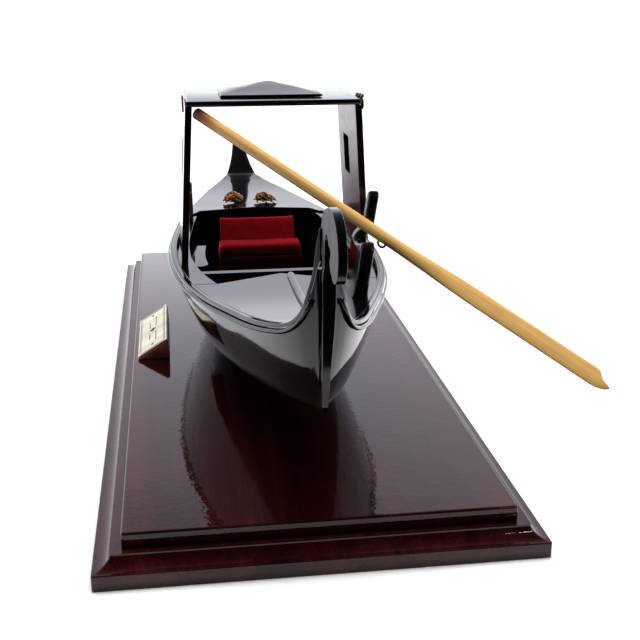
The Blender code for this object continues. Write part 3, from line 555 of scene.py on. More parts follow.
def smooth_table(table, y, column):
    """Smooth curve through a table's points: cubic pieces with each point's mean slope."""
    rows = [(row[0] * MM, row[column] * MM) for row in table]
    y = min(max(y, rows[0][0]), rows[-1][0])
    last = len(rows) - 1
    i = next(k for k in range(last) if y <= rows[k + 1][0])

    def slope(k):
        low, high = max(k - 1, 0), min(k + 1, last)
        return (rows[high][1] - rows[low][1]) / (rows[high][0] - rows[low][0])

    (y0, v0), (y1, v1) = rows[i], rows[i + 1]
    run = y1 - y0
    t = (y - y0) / run
    return (v0 * (1 + 2 * t) * (1 - t) ** 2 + v1 * t * t * (3 - 2 * t)
            + run * (slope(i) * t * (1 - t) ** 2 - slope(i + 1) * t * t * (1 - t)))


def half_beam(y):
    return smooth_table(HULL_TABLE, y, 1)


def edge_height(y):
    return smooth_table(HULL_TABLE, y, 2)


def keel_height(y):
    aft, forward = KEEL_SWEEPS
    if y < KEEL_LOW_Y:
        return KEEL_LOW + KEEL_RISE * ((KEEL_LOW_Y - y) / (KEEL_LOW_Y - STERN_FOOT[0])) ** aft
    far = HULL_TABLE[-1][0] * MM
    return KEEL_LOW + (PROW_FOOT_Z - KEEL_LOW) * ((y - KEEL_LOW_Y) / (far - KEEL_LOW_Y)) ** forward


def lean_of_station(y, z):
    """Shift aft of a section's point, as the aft stations lean out with the stern post."""
    aft = STERN_RAKE * smooth_step((-150 * MM - y) / (80 * MM))
    return -aft * (min(z, RAKE_TOP) - STERN_FOOT[1])


def fullness(y):
    """0.28 is a round, full section; 0.9 is nearly a plain V, as at the posts."""
    aft = smooth_step((-200 * MM - y) / (90 * MM))
    fore = smooth_step((y - 190 * MM) / (100 * MM))
    return 0.28 + 0.62 * max(aft, fore)


def section(y, beam, keel, rim):
    points = []
    for j in range(-RIBS, RIBS + 1):
        height = (abs(j) / RIBS) ** 3
        x = math.copysign(beam * height ** fullness(y), j) if j else 0.0
        z = keel + (rim - keel) * height
        points.append(Vector((x, y + lean_of_station(y, z), z)))
    return points


def width_at(y, z, inside=0.0):
    keel, rim = keel_height(y) + inside, edge_height(y) - EDGE_DROP
    height = min(max((z - keel) / (rim - keel), 0.0), 1.0)
    return (half_beam(y) - inside) * height ** fullness(y)


def hull_stations():
    """Each span between the table's rows is divided, so the stations lie closest where the edge sweeps up."""
    places = [HULL_TABLE[0][0] * MM]
    for row, following in zip(HULL_TABLE, HULL_TABLE[1:]):
        start, end = row[0] * MM, following[0] * MM
        places += evenly(start, end, max(6, round((end - start) / STATION_STEP)))[1:]
    return places


def edge_frames(side, start, end):
    """Rim points on one side, closer towards the end, each with its outward and upward directions."""
    rim = []
    for share in evenly(0, 1, EDGE_STEPS):
        y = start + (end - start) * (1 - (1 - share) ** EDGE_CROWDING)
        z = edge_height(y) - EDGE_DROP
        rim.append(Vector((side * half_beam(y), y + lean_of_station(y, z), z)))
    frames = []
    for i, point in enumerate(rim):
        ahead = rim[min(i + 1, EDGE_STEPS)] - rim[max(i - 1, 0)]
        outward = ahead.cross(Vector((0, 0, 1))).normalized() * -side
        up = ahead.cross(outward).normalized() * side
        frames.append((point, outward, up))
    return frames


def well_half(y):
    return smooth_table(WELL_EDGE, y, 1)


def deck_inner_edge(y):
    return half_beam(y) - CAP_WIDTH - FIT


def side_deck_height(y):
    drop = DECK_DROP * (1 - 0.7 * smooth_step((y - 60 * MM) / (44 * MM)))
    return edge_height(y) - drop


# ---------------------------------------------------------------- base

def moulding_ring(half_x, half_y, inset, z, corner, steps=5):
    """Rounded rectangle of points round the base at one height."""
    points = []
    x, y = half_x - inset - corner, half_y - inset - corner
    for sx, sy, start in ((1, 1, 0), (-1, 1, 90), (-1, -1, 180), (1, -1, 270)):
        points += [Vector((a, b, z)) for a, b in arc((sx * x, sy * y), corner, start, start + 90, steps)]
    return points


def make_plinth(mats):
    """Upright band with eased edges, a small ledge, and a hollow moulding up to the board."""
    half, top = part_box("plinth")[1].xy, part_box("plinth")[1].z
    band, ledge, run = 7.4 * MM, 0.6 * MM, 7.0 * MM
    ease = [(0.5, 0.0), (0.15, 0.12), (0.0, 0.5)]
    profile = [(inset * MM, z * MM) for inset, z in ease]
    profile += [(0.0, band - 0.55 * MM), (0.14 * MM, band - 0.16 * MM), (0.5 * MM, band), (ledge, band)]
    for step in range(1, 19):
        turn = math.radians(5 * step)
        profile.append((ledge + run * math.sin(turn), band + (top - band) * (1 - math.cos(turn))))
    rings = [moulding_ring(*half, inset, z, 1.3 * MM) for inset, z in profile]
    plinth = new_object("plinth_moulding", loft(rings), mats["mahogany"])
    recess_r, recess = 3.7 * MM, 3.6 * MM
    spots = [sum(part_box(name), Vector()) / 2 for name in SCREWS]
    cut(plinth, [loft([circle(spot.x, spot.y, z, recess_r) for z in (-MM, recess)]) for spot in spots])
    plinth.data.set_sharp_from_angle(angle=math.radians(28))
    settle(plinth, "mahogany", "plinth")


def make_top_board(mats):
    low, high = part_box("top_board")
    chamfer, ease = 0.3, 0.9
    profile = [(chamfer, low.z), (0.0, low.z + chamfer * MM), (0.0, high.z - ease * MM)]
    profile += eased_edge(ease, ease * MM, high.z, (18, 36, 54, 72, 90))
    rings = [moulding_ring(high.x, high.y, inset * MM, z, 1.4 * MM) for inset, z in profile]
    shaped("top_board_varnished", loft(rings), mats["mahogany"], "mahogany", "top_board", sharp=60)


def plate_frame():
    """Foot, slope and outward directions of the wedge's sloping face, and its length."""
    low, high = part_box("nameplate_wedge")
    slope = Vector((high.x - 0.8 * MM - low.x, 0, high.z - low.z))
    run = slope.normalized()
    out = Vector((-run.z, 0, run.x))
    foot = Vector((low.x, (low.y + high.y) / 2, low.z)) + run * 0.7 * MM + out * FIT
    return foot, run, out, slope.length - 0.9 * MM, high.y - low.y


def make_nameplate(mats):
    """Satin plate with a raised double border and a plain, letterless ornament."""
    low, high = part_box("nameplate_wedge")
    ends = [[Vector((x, y, z)) for x, z in ((low.x, low.z), (high.x, low.z), (high.x - 0.8 * MM, high.z))]
            for y in (low.y, high.y)]
    shaped("nameplate_stand", loft(ends), mats["rosewood"], "rosewood", "nameplate_wedge", edge=0.35 * MM)

    foot, run, out, height, length = plate_frame()
    turn = Matrix((Vector((0, -1, 0)), run, out)).transposed().to_4x4()
    at = Matrix.Translation(foot) @ turn
    half_u, thick = length / 2 - 0.6 * MM, 0.75 * MM
    plate_body = block((-half_u, 0, 0), (half_u, height, thick))
    shaped("nameplate_brass", plate_body, mats["brass"], "brass", "nameplate", edge=0.22 * MM, at=at)

    lines = bmesh.new()
    middle = height / 2
    for inset, width in ((1.4 * MM, 0.34 * MM), (2.3 * MM, 0.18 * MM)):
        border(lines, half_u - inset, middle - inset, middle, width, thick)
    for level, reach in ((0.62, 0.66), (0.40, 0.46)):
        for side in (-1, 1):
            u0, u1 = 5 * MM, half_u * reach
            strip(lines, side * u0, side * u1, height * level, 0.55 * MM, thick)
    lozenge(lines, 0, middle, 3.4 * MM, 2.6 * MM, thick)
    for u in (-1, 1):
        lozenge(lines, u * half_u * 0.78, middle, 1.5 * MM, 1.2 * MM, thick)
    marks = new_object("nameplate_ornament", lines, mats["engraving"])
    marks.matrix_world = at
    settle(marks, "brass")


def raised(bm, outline, base, height=0.07 * MM):
    """Thin raised mark with slightly sloping sides."""
    centre = sum((Vector(p) for p in outline), Vector((0, 0))) / len(outline)
    loft([[(*(centre + (Vector(p) - centre) * k), z) for p in outline]
          for z, k in ((base - 0.03 * MM, 1.0), (base + height, 0.93))], bm)


def oblong(bm, u0, u1, v0, v1, base):
    raised(bm, [(u0, v0), (u1, v0), (u1, v1), (u0, v1)], base)


def strip(bm, u0, u1, v, width, base):
    oblong(bm, u0, u1, v - width / 2, v + width / 2, base)


def lozenge(bm, u, v, half_u, half_v, base):
    raised(bm, [(u - half_u, v), (u, v - half_v), (u + half_u, v), (u, v + half_v)], base)


def border(bm, half_u, half_v, middle, width, base):
    for side in (-1, 1):
        strip(bm, -half_u, half_u, middle + side * half_v, width, base)
        u = side * half_u
        oblong(bm, u - width / 2, u + width / 2, middle - half_v, middle + half_v, base)


# ---------------------------------------------------------------- hull and decks

def make_hull(mats):
    outer, inner = [], []
    for y in hull_stations():
        rim = edge_height(y) - EDGE_DROP
        outer.append(section(y, half_beam(y), keel_height(y), rim))
        if HOLLOW_Y[0] < y < HOLLOW_Y[1]:
            inner.append(section(y, half_beam(y) - HULL_SKIN, keel_height(y) + HULL_SKIN, rim))
            continue
        beam = half_beam(y) * 0.8
        inner.append([Vector((beam * j / RIBS, y + lean_of_station(y, rim), rim))
                      for j in range(-RIBS, RIBS + 1)])
    lacquered("hull_shell", two_skins(outer, inner), mats, "hull", sharp=45)


def make_stern_post(mats):
    """Upswept plate that curls forward into a slotted scroll; the outline is (y, z) in mm."""
    foot_y, foot_z = STERN_FOOT[0] / MM, STERN_FOOT[1] / MM
    front = [(foot_y, foot_z), (-240.2, 83.5), (-243.4, 96), (-246.6, 109), (-248.8, 121), (-248.6, 132),
             (-247.2, 141)]
    slot = arc((-252.6, 145.6), 5.2, -12, 150, 8)
    tip = [(-262.6, 146.6), (-260.2, 142.4), (-262.0, 139.2)] + arc((-270.6, 147.4), 10.6, -60, -140, 5)
    scroll = [(-281.4, 149.0), (-279.6, 154.6), (-275.4, 159.2), (-267.6, 162.6), (-258, 162.6)]
    depth = 6.3
    upright = foot_y + depth - STERN_RAKE * (RAKE_TOP / MM - foot_z)
    shoulder = [(-247.5, 159.6), (-241.0, 155.4), (-237.2, 150), (-236.8, 144.5), (upright + 1.6, 139.2),
                (upright, 136.2)]
    curved = smooth_line(front[4:] + slot + tip + scroll + shoulder, 4)
    back = [(foot_y + depth - STERN_RAKE * (z - foot_z), z)
            for z in (RAKE_TOP / MM, 107, 96, 84, foot_z + 2.5)]
    outline = [(p[0] * MM, p[1] * MM) for p in front[:4] + [tuple(v) for v in curved] + back]

    def half_width(z):
        grown = (1.45 + 1.25 * smooth_step((z / MM - foot_z) / 55)) * MM
        return grown - 0.9 * MM * smooth_step((z / MM - 131) / 8)

    body = plate(outline, 0.32 * MM, lambda z: 0.0, half_width, [z * MM for z in range(74, 148, 4)])
    post = lacquered("stern_scroll", body, mats, "stern_post", sharp=50, flat=True)
    post.data.materials.append(mats["satin"])
    for face in post.data.polygons:
        face.material_index = int(abs(face.normal.x) > 0.95 and face.center.z > SCROLL_LOW)


def make_prow_post(mats):
    """Prow that turns up into a smooth fin; rows of (run, half width, low z, top z) in mm."""
    shape = smooth_line([(0, 13.4, 52.0, 79.7), (3.5, 12.2, 54.2, 80.5), (7, 11.0, 56.4, 82.6),
                         (13, 9.0, 60.0, 87.0), (20, 7.2, 64.6, 92.2), (27, 5.9, 70.0, 97.4),
                         (32, 5.2, 75.0, 101.1), (36, 4.7, 80.0, 103.6), (39, 4.2, 85.0, 104.6),
                         (41, 2.6, 90.0, 103.0)], 5)
    loop = [(0.08, 0.0), (0.26, 0.15), (0.42, 0.3), (0.58, 0.47), (0.72, 0.64), (0.84, 0.78), (0.93, 0.9),
            (0.98, 0.96), (0.985, 0.99), (0.95, 1.0), (0.5, 1.0)]
    y_start = HULL_TABLE[-1][0] * MM + FIT
    rings = []
    for run, half, low, top in shape:
        ring = []
        for share, up in loop + [(-share, up) for share, up in reversed(loop)]:
            y = y_start + run * (1 + PROW_FOOT_REACH * (1 - up)) * MM
            ring.append(Vector((share * half * MM, y, (low + (top - low) * up) * MM)))
        rings.append(ring)
    lacquered("prow_fin", loft(rings), mats, "prow_post", sharp=55)


def cap_profile():
    """Cap's cross-section: rounded shoulders and two fine grooves along its top."""
    half, groove = CAP_THICK / 2, 0.3 * MM
    shoulder = eased_edge(0.1, 0.45 * MM, half, (0, 30, 60, 90))
    points = [(-0.5, -half), (0.5, -half)] + [(0.5 - inset, z) for inset, z in shoulder]
    for centre in (0.24, -0.24):
        points += [(centre + 0.05, half), (centre + 0.02, half - groove), (centre - 0.02, half - groove),
                   (centre - 0.05, half)]
    return points + [(-0.5 + inset, z) for inset, z in reversed(shoulder)]


def cap_width(z):
    low, high = CAP_NARROWS
    return CAP_WIDTH + (CAP_END_WIDTH - CAP_WIDTH) * smooth_step((z - low) / (high - low))


def moulding(steps, profile):
    """Body through steps of (middle, outward, up, width, stretch); profile points are (share, height)."""
    return loft([[middle + outward * (share * width) + up * (height * stretch) for share, height in profile]
                 for middle, outward, up, width, stretch in steps])


def make_caps_and_rails(mats):
    half_round = [(-0.5, -RAIL_HEIGHT / 2), (-0.5, RAIL_HEIGHT / 2)]
    half_round += [(-0.5 + math.cos(math.radians(a)), RAIL_HEIGHT / 2 * math.sin(math.radians(a)))
                   for a in (72, 50, 25, 0, -25, -50, -72)]
    for side, name in SIDES:
        steps = []
        for rim, outward, up in edge_frames(side, FORE_DECK_Y - 3 * FIT, HULL_TABLE[0][0] * MM):
            width = cap_width(rim.z)
            middle = rim + up * (EDGE_DROP - CAP_THICK / 2) - outward * width / 2
            steps.append((middle, outward, up, width, 1.0))
        tips = [Vector((side * x, y, z, thick)) * MM for x, y, z, thick in CAP_TIPS]
        leading = [Vector((*steps[k][0], CAP_THICK)) for k in (-20, -1)]
        steps += [(spot.xyz, outward, up, CAP_END_WIDTH, spot.w / CAP_THICK)
                  for spot in smooth_line(leading + tips, 8)[9:]]
        lacquered("gunwale_moulding_" + name, moulding(steps, cap_profile()), mats, "gunwale_cap_" + name)

        steps = []
        for rim, outward, up in edge_frames(side, *RAIL_Y):
            middle = rim - up * (FIT + RAIL_HEIGHT / 2) + outward * (FIT + RAIL_WIDTH / 2)
            steps.append((middle, outward, up, RAIL_WIDTH, 1.0))
        lacquered("rub_strip_" + name, moulding(steps, half_round), mats, "rub_rail_" + name)


def make_side_decks(mats):
    for side, name in SIDES:
        rows = []
        for y in evenly(AFT_DECK_Y[1] + FIT, FORE_DECK_Y - FIT, 70):
            z = side_deck_height(y)
            inner, outer = well_half(y), deck_inner_edge(y)
            rows.append([Vector((side * x, y, z)) for x in evenly(inner, outer, 3)])
        lacquered("side_deck_panel_" + name, slab(rows, DECK_THICK), mats, "side_deck_" + name,
                  edge=0.35 * MM)


def make_aft_deck(mats):
    rows = []
    start, end = AFT_DECK_Y
    corner = well_half(end) / deck_inner_edge(end)
    shares = evenly(-1, -corner, 2)[:-1] + evenly(-corner, corner, 24) + evenly(corner, 1, 2)[1:]
    for y in evenly(start, end, 56):
        bow = AFT_DECK_BOW * smooth_step((y - start) / (end - start))
        row = []
        for u in shares:
            y_here = y + bow * max(1 - abs(u) / corner, 0)
            row.append(Vector((deck_inner_edge(y) * u, y_here, edge_height(y_here) - DECK_DROP)))
        rows.append(row)
    lacquered("aft_deck_panel", slab(rows, DECK_THICK), mats, "aft_deck", edge=0.35 * MM)


def make_fore_deck(mats):
    start, end = FORE_DECK_Y, FORE_DECK_END
    corners = [(x * MM, run * MM) for x, run in FORE_DECK_NOTCH]
    rows = []
    for y in evenly(start, end, 90):
        fade = 1 - smooth_step((y - start) / (60 * MM))
        half = half_beam(y)
        scale = half / half_beam(start)
        line = [(half, 0.0)] + [(x * scale, run * fade) for x, run in corners]
        fine = []
        for (x0, run0), (x1, run1) in zip(line, line[1:]):
            fine += [(x0 + (x1 - x0) * k / 6, run0 + (run1 - run0) * k / 6) for k in range(6)]
        fine.append(line[-1])
        fine += [(-x, run) for x, run in reversed(fine[:-1])]
        row = []
        for x, run in fine:
            z = edge_height(y + run)
            row.append(Vector((x * half_beam(y + run) / half, y + run, z)))
        rows.append(row)
    lacquered("fore_deck_panel", slab(rows, EDGE_DROP - 2 * FIT), mats, "fore_deck", edge=0.3 * MM)


def make_floor(mats):
    """Planked bottom boards with narrow grooves between them."""
    low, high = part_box("cockpit_floor")
    planks, groove = 8, 0.5 * MM
    shares = []
    for k in range(planks):
        start, width = -1 + 2 * k / planks, 2 / planks
        shares += [(start, groove), (start + 0.04 * width, 0), (start + 0.96 * width, 0)]
    shares.append((1.0, groove))
    rows = []
    for y in evenly(low.y, high.y, 30):
        half = width_at(y, high.z - 1.6 * MM, HULL_SKIN) - 1.2 * MM
        rows.append([Vector((half * u, y, high.z - dip)) for u, dip in shares])
    lacquered("bottom_boards", slab(rows, high.z - low.z), mats, "cockpit_floor")


def make_crossbeam(mats):
    low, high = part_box("crossbeam")
    lacquered("crossbeam_rounded", block(low, high), mats, "crossbeam", edge=0.9 * MM)


def make_batten(mats):
    """Foot batten on the aft deck: a shallow arch with a rounded fore end."""
    low_end, high_end = (corner.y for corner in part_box("deck_batten"))
    centre, half = 5.0 * MM, 2.1 * MM
    arch = ((-1, 0.75), (-0.92, 1.15), (-0.75, 1.42), (-0.45, 1.56), (0, 1.6), (0.45, 1.56), (0.75, 1.42),
            (0.92, 1.15), (1, 0.75))
    rows, feet = [], []
    places = evenly(low_end, high_end - 5 * MM, 40) + [high_end - d * MM for d in (4, 3, 2, 1.3, 0.7, 0.3, 0)]
    for y in places:
        foot = edge_height(y) - DECK_DROP + FIT
        shift = 0.4 * MM * math.sin((y + 66 * MM) / (110 * MM) * math.pi)
        near_end = min((high_end - y) / (4 * MM), 1)
        taper = math.sqrt(max(1 - (1 - near_end) ** 2, 0.12))
        middle, reach = centre + shift, half * taper
        rows.append([Vector((middle + reach * u, y, foot + z * MM)) for u, z in arch])
        feet.append([Vector((middle + reach * u, y, foot)) for u, _ in arch])
    lacquered("foot_batten", two_skins(rows, feet), mats, "deck_batten", sharp=50)


def bench_inner(y):
    """Inner edge of a side bench: slightly hollow, with a rounded aft corner."""
    start, end = BENCH_Y
    hollow = 1.6 * MM * math.sin(math.pi * (y - start) / (end - start))
    near = max(BENCH_CORNER - (y - start), 0.0)
    return BENCH_INNER + hollow + BENCH_CORNER - math.sqrt(BENCH_CORNER ** 2 - near ** 2)


def make_benches(mats):
    start, end = BENCH_Y
    places = [start + BENCH_CORNER * (1 - math.cos(math.radians(a))) for a in range(8, 90, 6)]
    places += evenly(start + BENCH_CORNER, end, 30)
    for side, name in SIDES:
        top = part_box("side_bench_" + name)[1].z
        rows = []
        for y in places:
            outer = width_at(y, top - 2 * MM, HULL_SKIN) - 0.8 * MM
            rows.append([Vector((side * x, y, top)) for x in evenly(bench_inner(y), outer, 3)])
        lacquered("bench_top_" + name, slab(rows, 2 * MM), mats, "side_bench_" + name, edge=0.45 * MM)


# ---------------------------------------------------------------- seat

def make_seat_box(mats):
    """Maroon box with a sunk front panel."""
    low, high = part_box("seat_box")
    obj = new_object("seat_base", block(low, high), mats["maroon"])
    margin, depth = 3.2 * MM, 0.9 * MM
    cut(obj, [block((low.x + margin, low.y - MM, low.z + margin),
                    (high.x - margin, low.y + depth, high.z - margin))])
    soften(obj, 0.4 * MM)
    settle(obj, "dark_maroon", "seat_box")


def puff(obj, scale, cap):
    """Let the cushion swell by cloth simulation, each point moving no further than the cap."""
    rest = [vert.co.copy() for vert in obj.data.vertices]
    cloth = obj.modifiers.new("cloth", "CLOTH")
    cloth.settings.quality = 5
    cloth.settings.use_pressure = True
    cloth.settings.uniform_pressure_force = 4.0
    cloth.settings.effector_weights.gravity = 0.0
    first, last = 1, 20
    cloth.point_cache.frame_start, cloth.point_cache.frame_end = first, last
    for step in range(first, last + 1):
        bpy.context.scene.frame_set(step)
    bake_modifiers(obj)
    bpy.context.scene.frame_set(first)
    for vert, start in zip(obj.data.vertices, rest):
        move = vert.co - start
        if move.length > cap * scale:
            vert.co = start + move * (cap * scale / move.length)


def make_cushion(name, node, lean, sunk, mats):
    """Padded velvet block, simulated larger than life so that the cloth behaves, then leaned and fitted.

    Its front face is sunk by a little in the middle, if asked for.
    """
    scale, shrink = 20.0, 0.55 * MM
    low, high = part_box(node)
    height = high.z - low.z
    thick = high.y - low.y - math.tan(lean) * height
    half = Vector(((high.x - low.x) / 2, thick / 2, height / 2))
    start = (half - Vector((shrink,) * 3)) * scale
    obj = new_object(name, block(-start, start), mats["velvet"])
    even_skin(obj, 0.8 * MM * scale, 5)
    puff(obj, scale, 0.9 * MM)
    for vert in obj.data.vertices:
        p = vert.co / scale
        p.z = max(p.z, -half.z)
        if p.y < 0:
            edge = max(abs(p.x) / half.x, abs(p.z) / half.z)
            p.y += sunk * (1 - smooth_step((edge - 0.45) / 0.4))
        p.y += math.tan(lean) * (p.z + half.z)
        vert.co = Vector((p.x, low.y + thick / 2 + p.y, low.z + half.z + p.z))
    finer = obj.modifiers.new("finer", "SUBSURF")
    finer.levels = finer.render_levels = 1
    bake_modifiers(obj)
    obj.data.shade_smooth()
    settle(obj, "red_velvet", node)


def make_seat(mats):
    make_seat_box(mats)
    make_cushion("seat_pad", "seat_cushion", 0.0, 0.0, mats)
    make_cushion("back_pad", "back_cushion", math.radians(26), 0.35 * MM, mats)


# ---------------------------------------------------------------- cabin

def wall_half(z):
    """Half width of the cabin's outside at a height."""
    (foot_z, foot_half), (top_z, top_half) = WALL_FOOT, WALL_TOP
    return foot_half + (top_half - foot_half) * (z - foot_z) / (top_z - foot_z)


def window_and_pin_hole(side):
    near, far = sorted((side * 40 * MM, side * 70 * MM))
    window = block((near, WINDOW_Y[0], WINDOW_Z[0]), (far, WINDOW_Y[1], WINDOW_Z[1]))
    y, z = PIN_HOLE
    pin = loft([[Vector((x, y + PIN_RADIUS * math.cos(a), z + PIN_RADIUS * math.sin(a))) for a in turns(20)]
                for x in (side * 44 * MM, side * 48.4 * MM)])
    return window, pin


def make_walls(mats):
    """Leaning side panels, black outside and burgundy inside, each with a window and a pin hole."""
    for side, name in SIDES:
        low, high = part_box("cabin_wall_" + name)
        rings = []
        for y in (low.y, high.y):
            foot = side_deck_height(y) + 0.5 * MM
            rings.append([Vector((side * (wall_half(z) - inner * WALL_THICK), y, z))
                          for z, inner in ((foot, 0), (foot, 1), (high.z, 1), (high.z, 0))])
        wall = new_object("cabin_panel_" + name, loft(rings), mats["black"], mats["lining"])
        cut(wall, window_and_pin_hole(side))
        for face in wall.data.polygons:
            face.material_index = int(face.normal.x * side < -0.7)
        soften(wall, 0.35 * MM)
        settle(wall, "black_lacquer", "cabin_wall_" + name)


def make_roof(mats):
    """Roof board with a rounded upper edge, and a low hipped peak on a rounded rim."""
    low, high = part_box("cabin_roof")
    middle_y = (low.y + high.y) / 2
    chamfer, ease = 0.4, 1.3
    profile = [(chamfer, low.z), (0.0, low.z + chamfer * MM), (0.0, high.z - ease * MM)]
    profile += eased_edge(1.0, ease * MM, high.z, (15, 30, 45, 60, 75, 90))
    rings = []
    for inset, z in profile:
        ring = moulding_ring(high.x, (high.y - low.y) / 2, inset * MM, z, 1.3 * MM, 4)
        rings.append([Vector((p.x, p.y + middle_y, p.z)) for p in ring])
    lacquered("roof_board", loft(rings), mats, "cabin_roof", sharp=60)

    low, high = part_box("roof_peak")
    centre = (low + high) / 2
    half_x, half_y = (high.x - low.x) / 2, (high.y - low.y) / 2
    bead = 1.4 * MM
    rings = []
    for inset, z in ((0.45, 0.0), (0.12, 0.25), (0.0, 0.65), (0.1, 1.05), (0.4, 1.3), (0.8, 1.4)):
        rings.append(peak_ring(centre, half_x - inset * MM, half_y - inset * MM, low.z + z * MM))
    for share in (0.5, 0.96):
        rings.append(peak_ring(centre, (half_x - 0.8 * MM) * (1 - share), (half_y - 0.8 * MM) * (1 - share),
                               low.z + bead + (high.z - low.z - bead) * share))
    lacquered("roof_hip", loft(rings), mats, "roof_peak", edge=0.22 * MM)


def peak_ring(centre, half_x, half_y, z):
    return [Vector((centre.x + sx * half_x, centre.y + sy * half_y, z))
            for sx, sy in ((-1, -1), (1, -1), (1, 1), (-1, 1))]


# ---------------------------------------------------------------- carvings

def carved_body(name, lobes, voxel, mat, slot, node):
    """One carved piece from overlapping rounded lobes: (centre, half sizes, turn, tilt)."""
    bm = bmesh.new()
    for centre, half, turn, tilt in lobes:
        made = bmesh.ops.create_icosphere(bm, subdivisions=3, radius=1.0)
        place_at = (Matrix.Translation(centre) @ Matrix.Rotation(turn, 4, "Z") @ Matrix.Rotation(tilt, 4, "Y")
                    @ Matrix.Diagonal((*half, 1.0)))
        bmesh.ops.transform(bm, matrix=place_at, verts=made["verts"])
    obj = new_object(name, bm, mat)
    even_skin(obj, voxel, 2)
    obj.data.shade_smooth()
    settle(obj, slot, node)


def make_roof_scrolls(mats):
    """Thin strips at the roof's near corners: a curl at the corner, then smaller and smaller leaves."""
    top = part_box("cabin_roof")[1].z
    for _, name in SIDES:
        low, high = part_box("roof_scroll_" + name)
        x = (low.x + high.x) / 2
        lobes = []
        for k in range(16):
            turn, reach = 0.62 * k, 3.1 * MM * (1 - k / 20)
            size = (0.95 - 0.03 * k) * MM
            lobes.append((Vector((x, low.y + 4.2 * MM + reach * math.cos(turn),
                                  top - 3.6 * MM + reach * math.sin(turn))), (0.6 * MM, size, size), 0, 0))
        for k in range(13):
            t = k / 12
            y = low.y + (3 + 21.5 * t) * MM
            rise = 1.0 + 1.5 * (1 - 0.6 * t) * abs(math.cos(2.6 * math.pi * t))
            size = (1.25 - 0.5 * t) * MM
            lobes.append((Vector((x, y, top + (rise - 0.9) * MM)), (0.6 * MM, 1.5 * size, size), 0, 0))
            bead = Vector((x, y + MM, top - (1.6 - 0.9 * t) * MM))
            lobes.append((bead, (0.55 * MM, 1.2 * MM, 0.9 * MM), 0, 0))
        carved_body("scrollwork_" + name, lobes, 0.24 * MM, mats["dark_gilt"], "dark_gilt",
                    "roof_scroll_" + name)


def make_deck_carvings(mats):
    """Low mounds of curled leaves: long lobes laid over a dome, smaller ones between, and a bud on top."""
    rng = random.Random(11)
    leaves, golden = 34, math.radians(137.5)
    for side, name in SIDES:
        low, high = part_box("deck_carving_" + name)
        centre, half = (low + high) / 2, (high - low) / 2
        tall, fall = high.z - low.z, 0.2 if side > 0 else 0.0
        lobes = [(Vector((centre.x, centre.y, low.z + 2.2 * MM)),
                  (half.x * 0.78, half.y * 0.74, 2.2 * MM), 0, 0)]
        for k in range(leaves):
            steep = math.acos(1 - 0.98 * (k + 0.5) / leaves)
            turn = golden * k
            out = Vector((math.cos(turn) * half.x, math.sin(turn) * half.y, 0)) * math.sin(steep) * 0.84
            drop = 1 - fall * (1 + math.cos(turn) * math.sin(steep))
            rise = (0.09 + 0.80 * math.cos(steep)) * tall * drop
            size = rng.uniform(0.75, 1.15) * MM
            lobes.append((Vector((centre.x, centre.y, low.z + rise)) + out,
                          (2.1 * size, 0.85 * size, 0.8 * size), turn + rng.uniform(0.3, 1.3),
                          rng.uniform(0.1, 0.7)))
            if k % 2:
                lobes.append((Vector((centre.x, centre.y, low.z + rise + 0.25 * MM)) + out * 0.93,
                              (0.75 * size,) * 3, 0, 0))
        carved_body("leaf_carving_" + name, lobes, 0.22 * MM, mats["bronze"], "gilt_bronze",
                    "deck_carving_" + name)


# ---------------------------------------------------------------- oar and rests

def make_rest(name, outline, foot_z, x_at_foot, side, thick, horn, lean, mat, slot, node):
    """Carved oar rest, leaning outboard; horn is its (thickness, shift outboard) above the crook."""
    curve = smooth_line(outline, 4, closed=True)
    points = [(p[0] * MM, p[1] * MM) for p in curve]
    horn_thick, horn_out = horn

    def above(z):
        return smooth_step((z - foot_z - CROOK) / (6 * MM))

    def half_width(z):
        return (thick + (horn_thick - thick) * above(z)) / 2

    def middle(z):
        return side * (x_at_foot + lean * (z - foot_z) + horn_out * above(z))

    low = min(z for _, z in points)
    high = max(z for _, z in points)
    body = plate(points, min(thick, horn_thick) * 0.25, middle, half_width, evenly(low, high, 22)[1:-1])
    shaped(name, body, mat, slot, node, sharp=60)


def make_rests(mats):
    deck_z = edge_height(PIVOT.y) - DECK_DROP

    def foot(y):
        return (edge_height(y * MM) - DECK_DROP + FIT) / MM

    stern = [(-125.2, foot(-125.2)), (-126.8, 96), (-125.8, 107.5)]
    stern += arc((-120.6, 108.6), 5.2, 165, 60, 4)
    stern += [(-113.5, 111.8), (-106.5, 111.2)] + arc((-105.6, 116.0), 4.4, -60, -10, 2)
    stern += [(-100.8, 126)] + arc((-97.2, 132.4), 3.4, 165, 15, 4) + [(-93.4, 122), (-95.4, 106)]
    stern += [(-99.5, 94), (-101, foot(-101))]
    make_rest("stern_rowing_rest", stern, deck_z, STERN_REST_X, 1, REST_THICK, REST_HORN, REST_LEAN,
              mats["carved"], "black_lacquer", "stern_oar_rest")

    low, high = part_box("bow_oar_rest")
    middle, floor = (low.y + high.y) / 2 / MM, low.z / MM
    bow = [(middle - 6, floor), (middle - 6.6, floor + 10)]
    bow += arc((middle - 3.6, floor + 17.4), 3.0, 170, 40, 3)
    bow += [(middle + 1, floor + 16.2), (middle + 2.4, floor + 19)]
    bow += arc((middle + 4.6, floor + 23.4), 2.2, 150, 10, 3)
    bow += [(middle + 6.6, floor + 14), (middle + 5.6, floor)]
    make_rest("bow_rowing_rest", bow, low.z, BOW_REST_X, -1, BOW_REST_THICK, (BOW_REST_THICK, 0.0), 0.0,
              mats["walnut"], "walnut", "bow_oar_rest")


def oar_matrix():
    """The oar's own axes: X along the shaft, Y across the blade, Z out of its face."""
    across = Vector((0, 0, 1)).cross(ALONG).normalized()
    across = Matrix.Rotation(BLADE_TILT, 3, ALONG) @ across
    turn = Matrix((ALONG, across, ALONG.cross(across))).transposed().to_4x4()
    return Matrix.Translation(PIVOT) @ turn


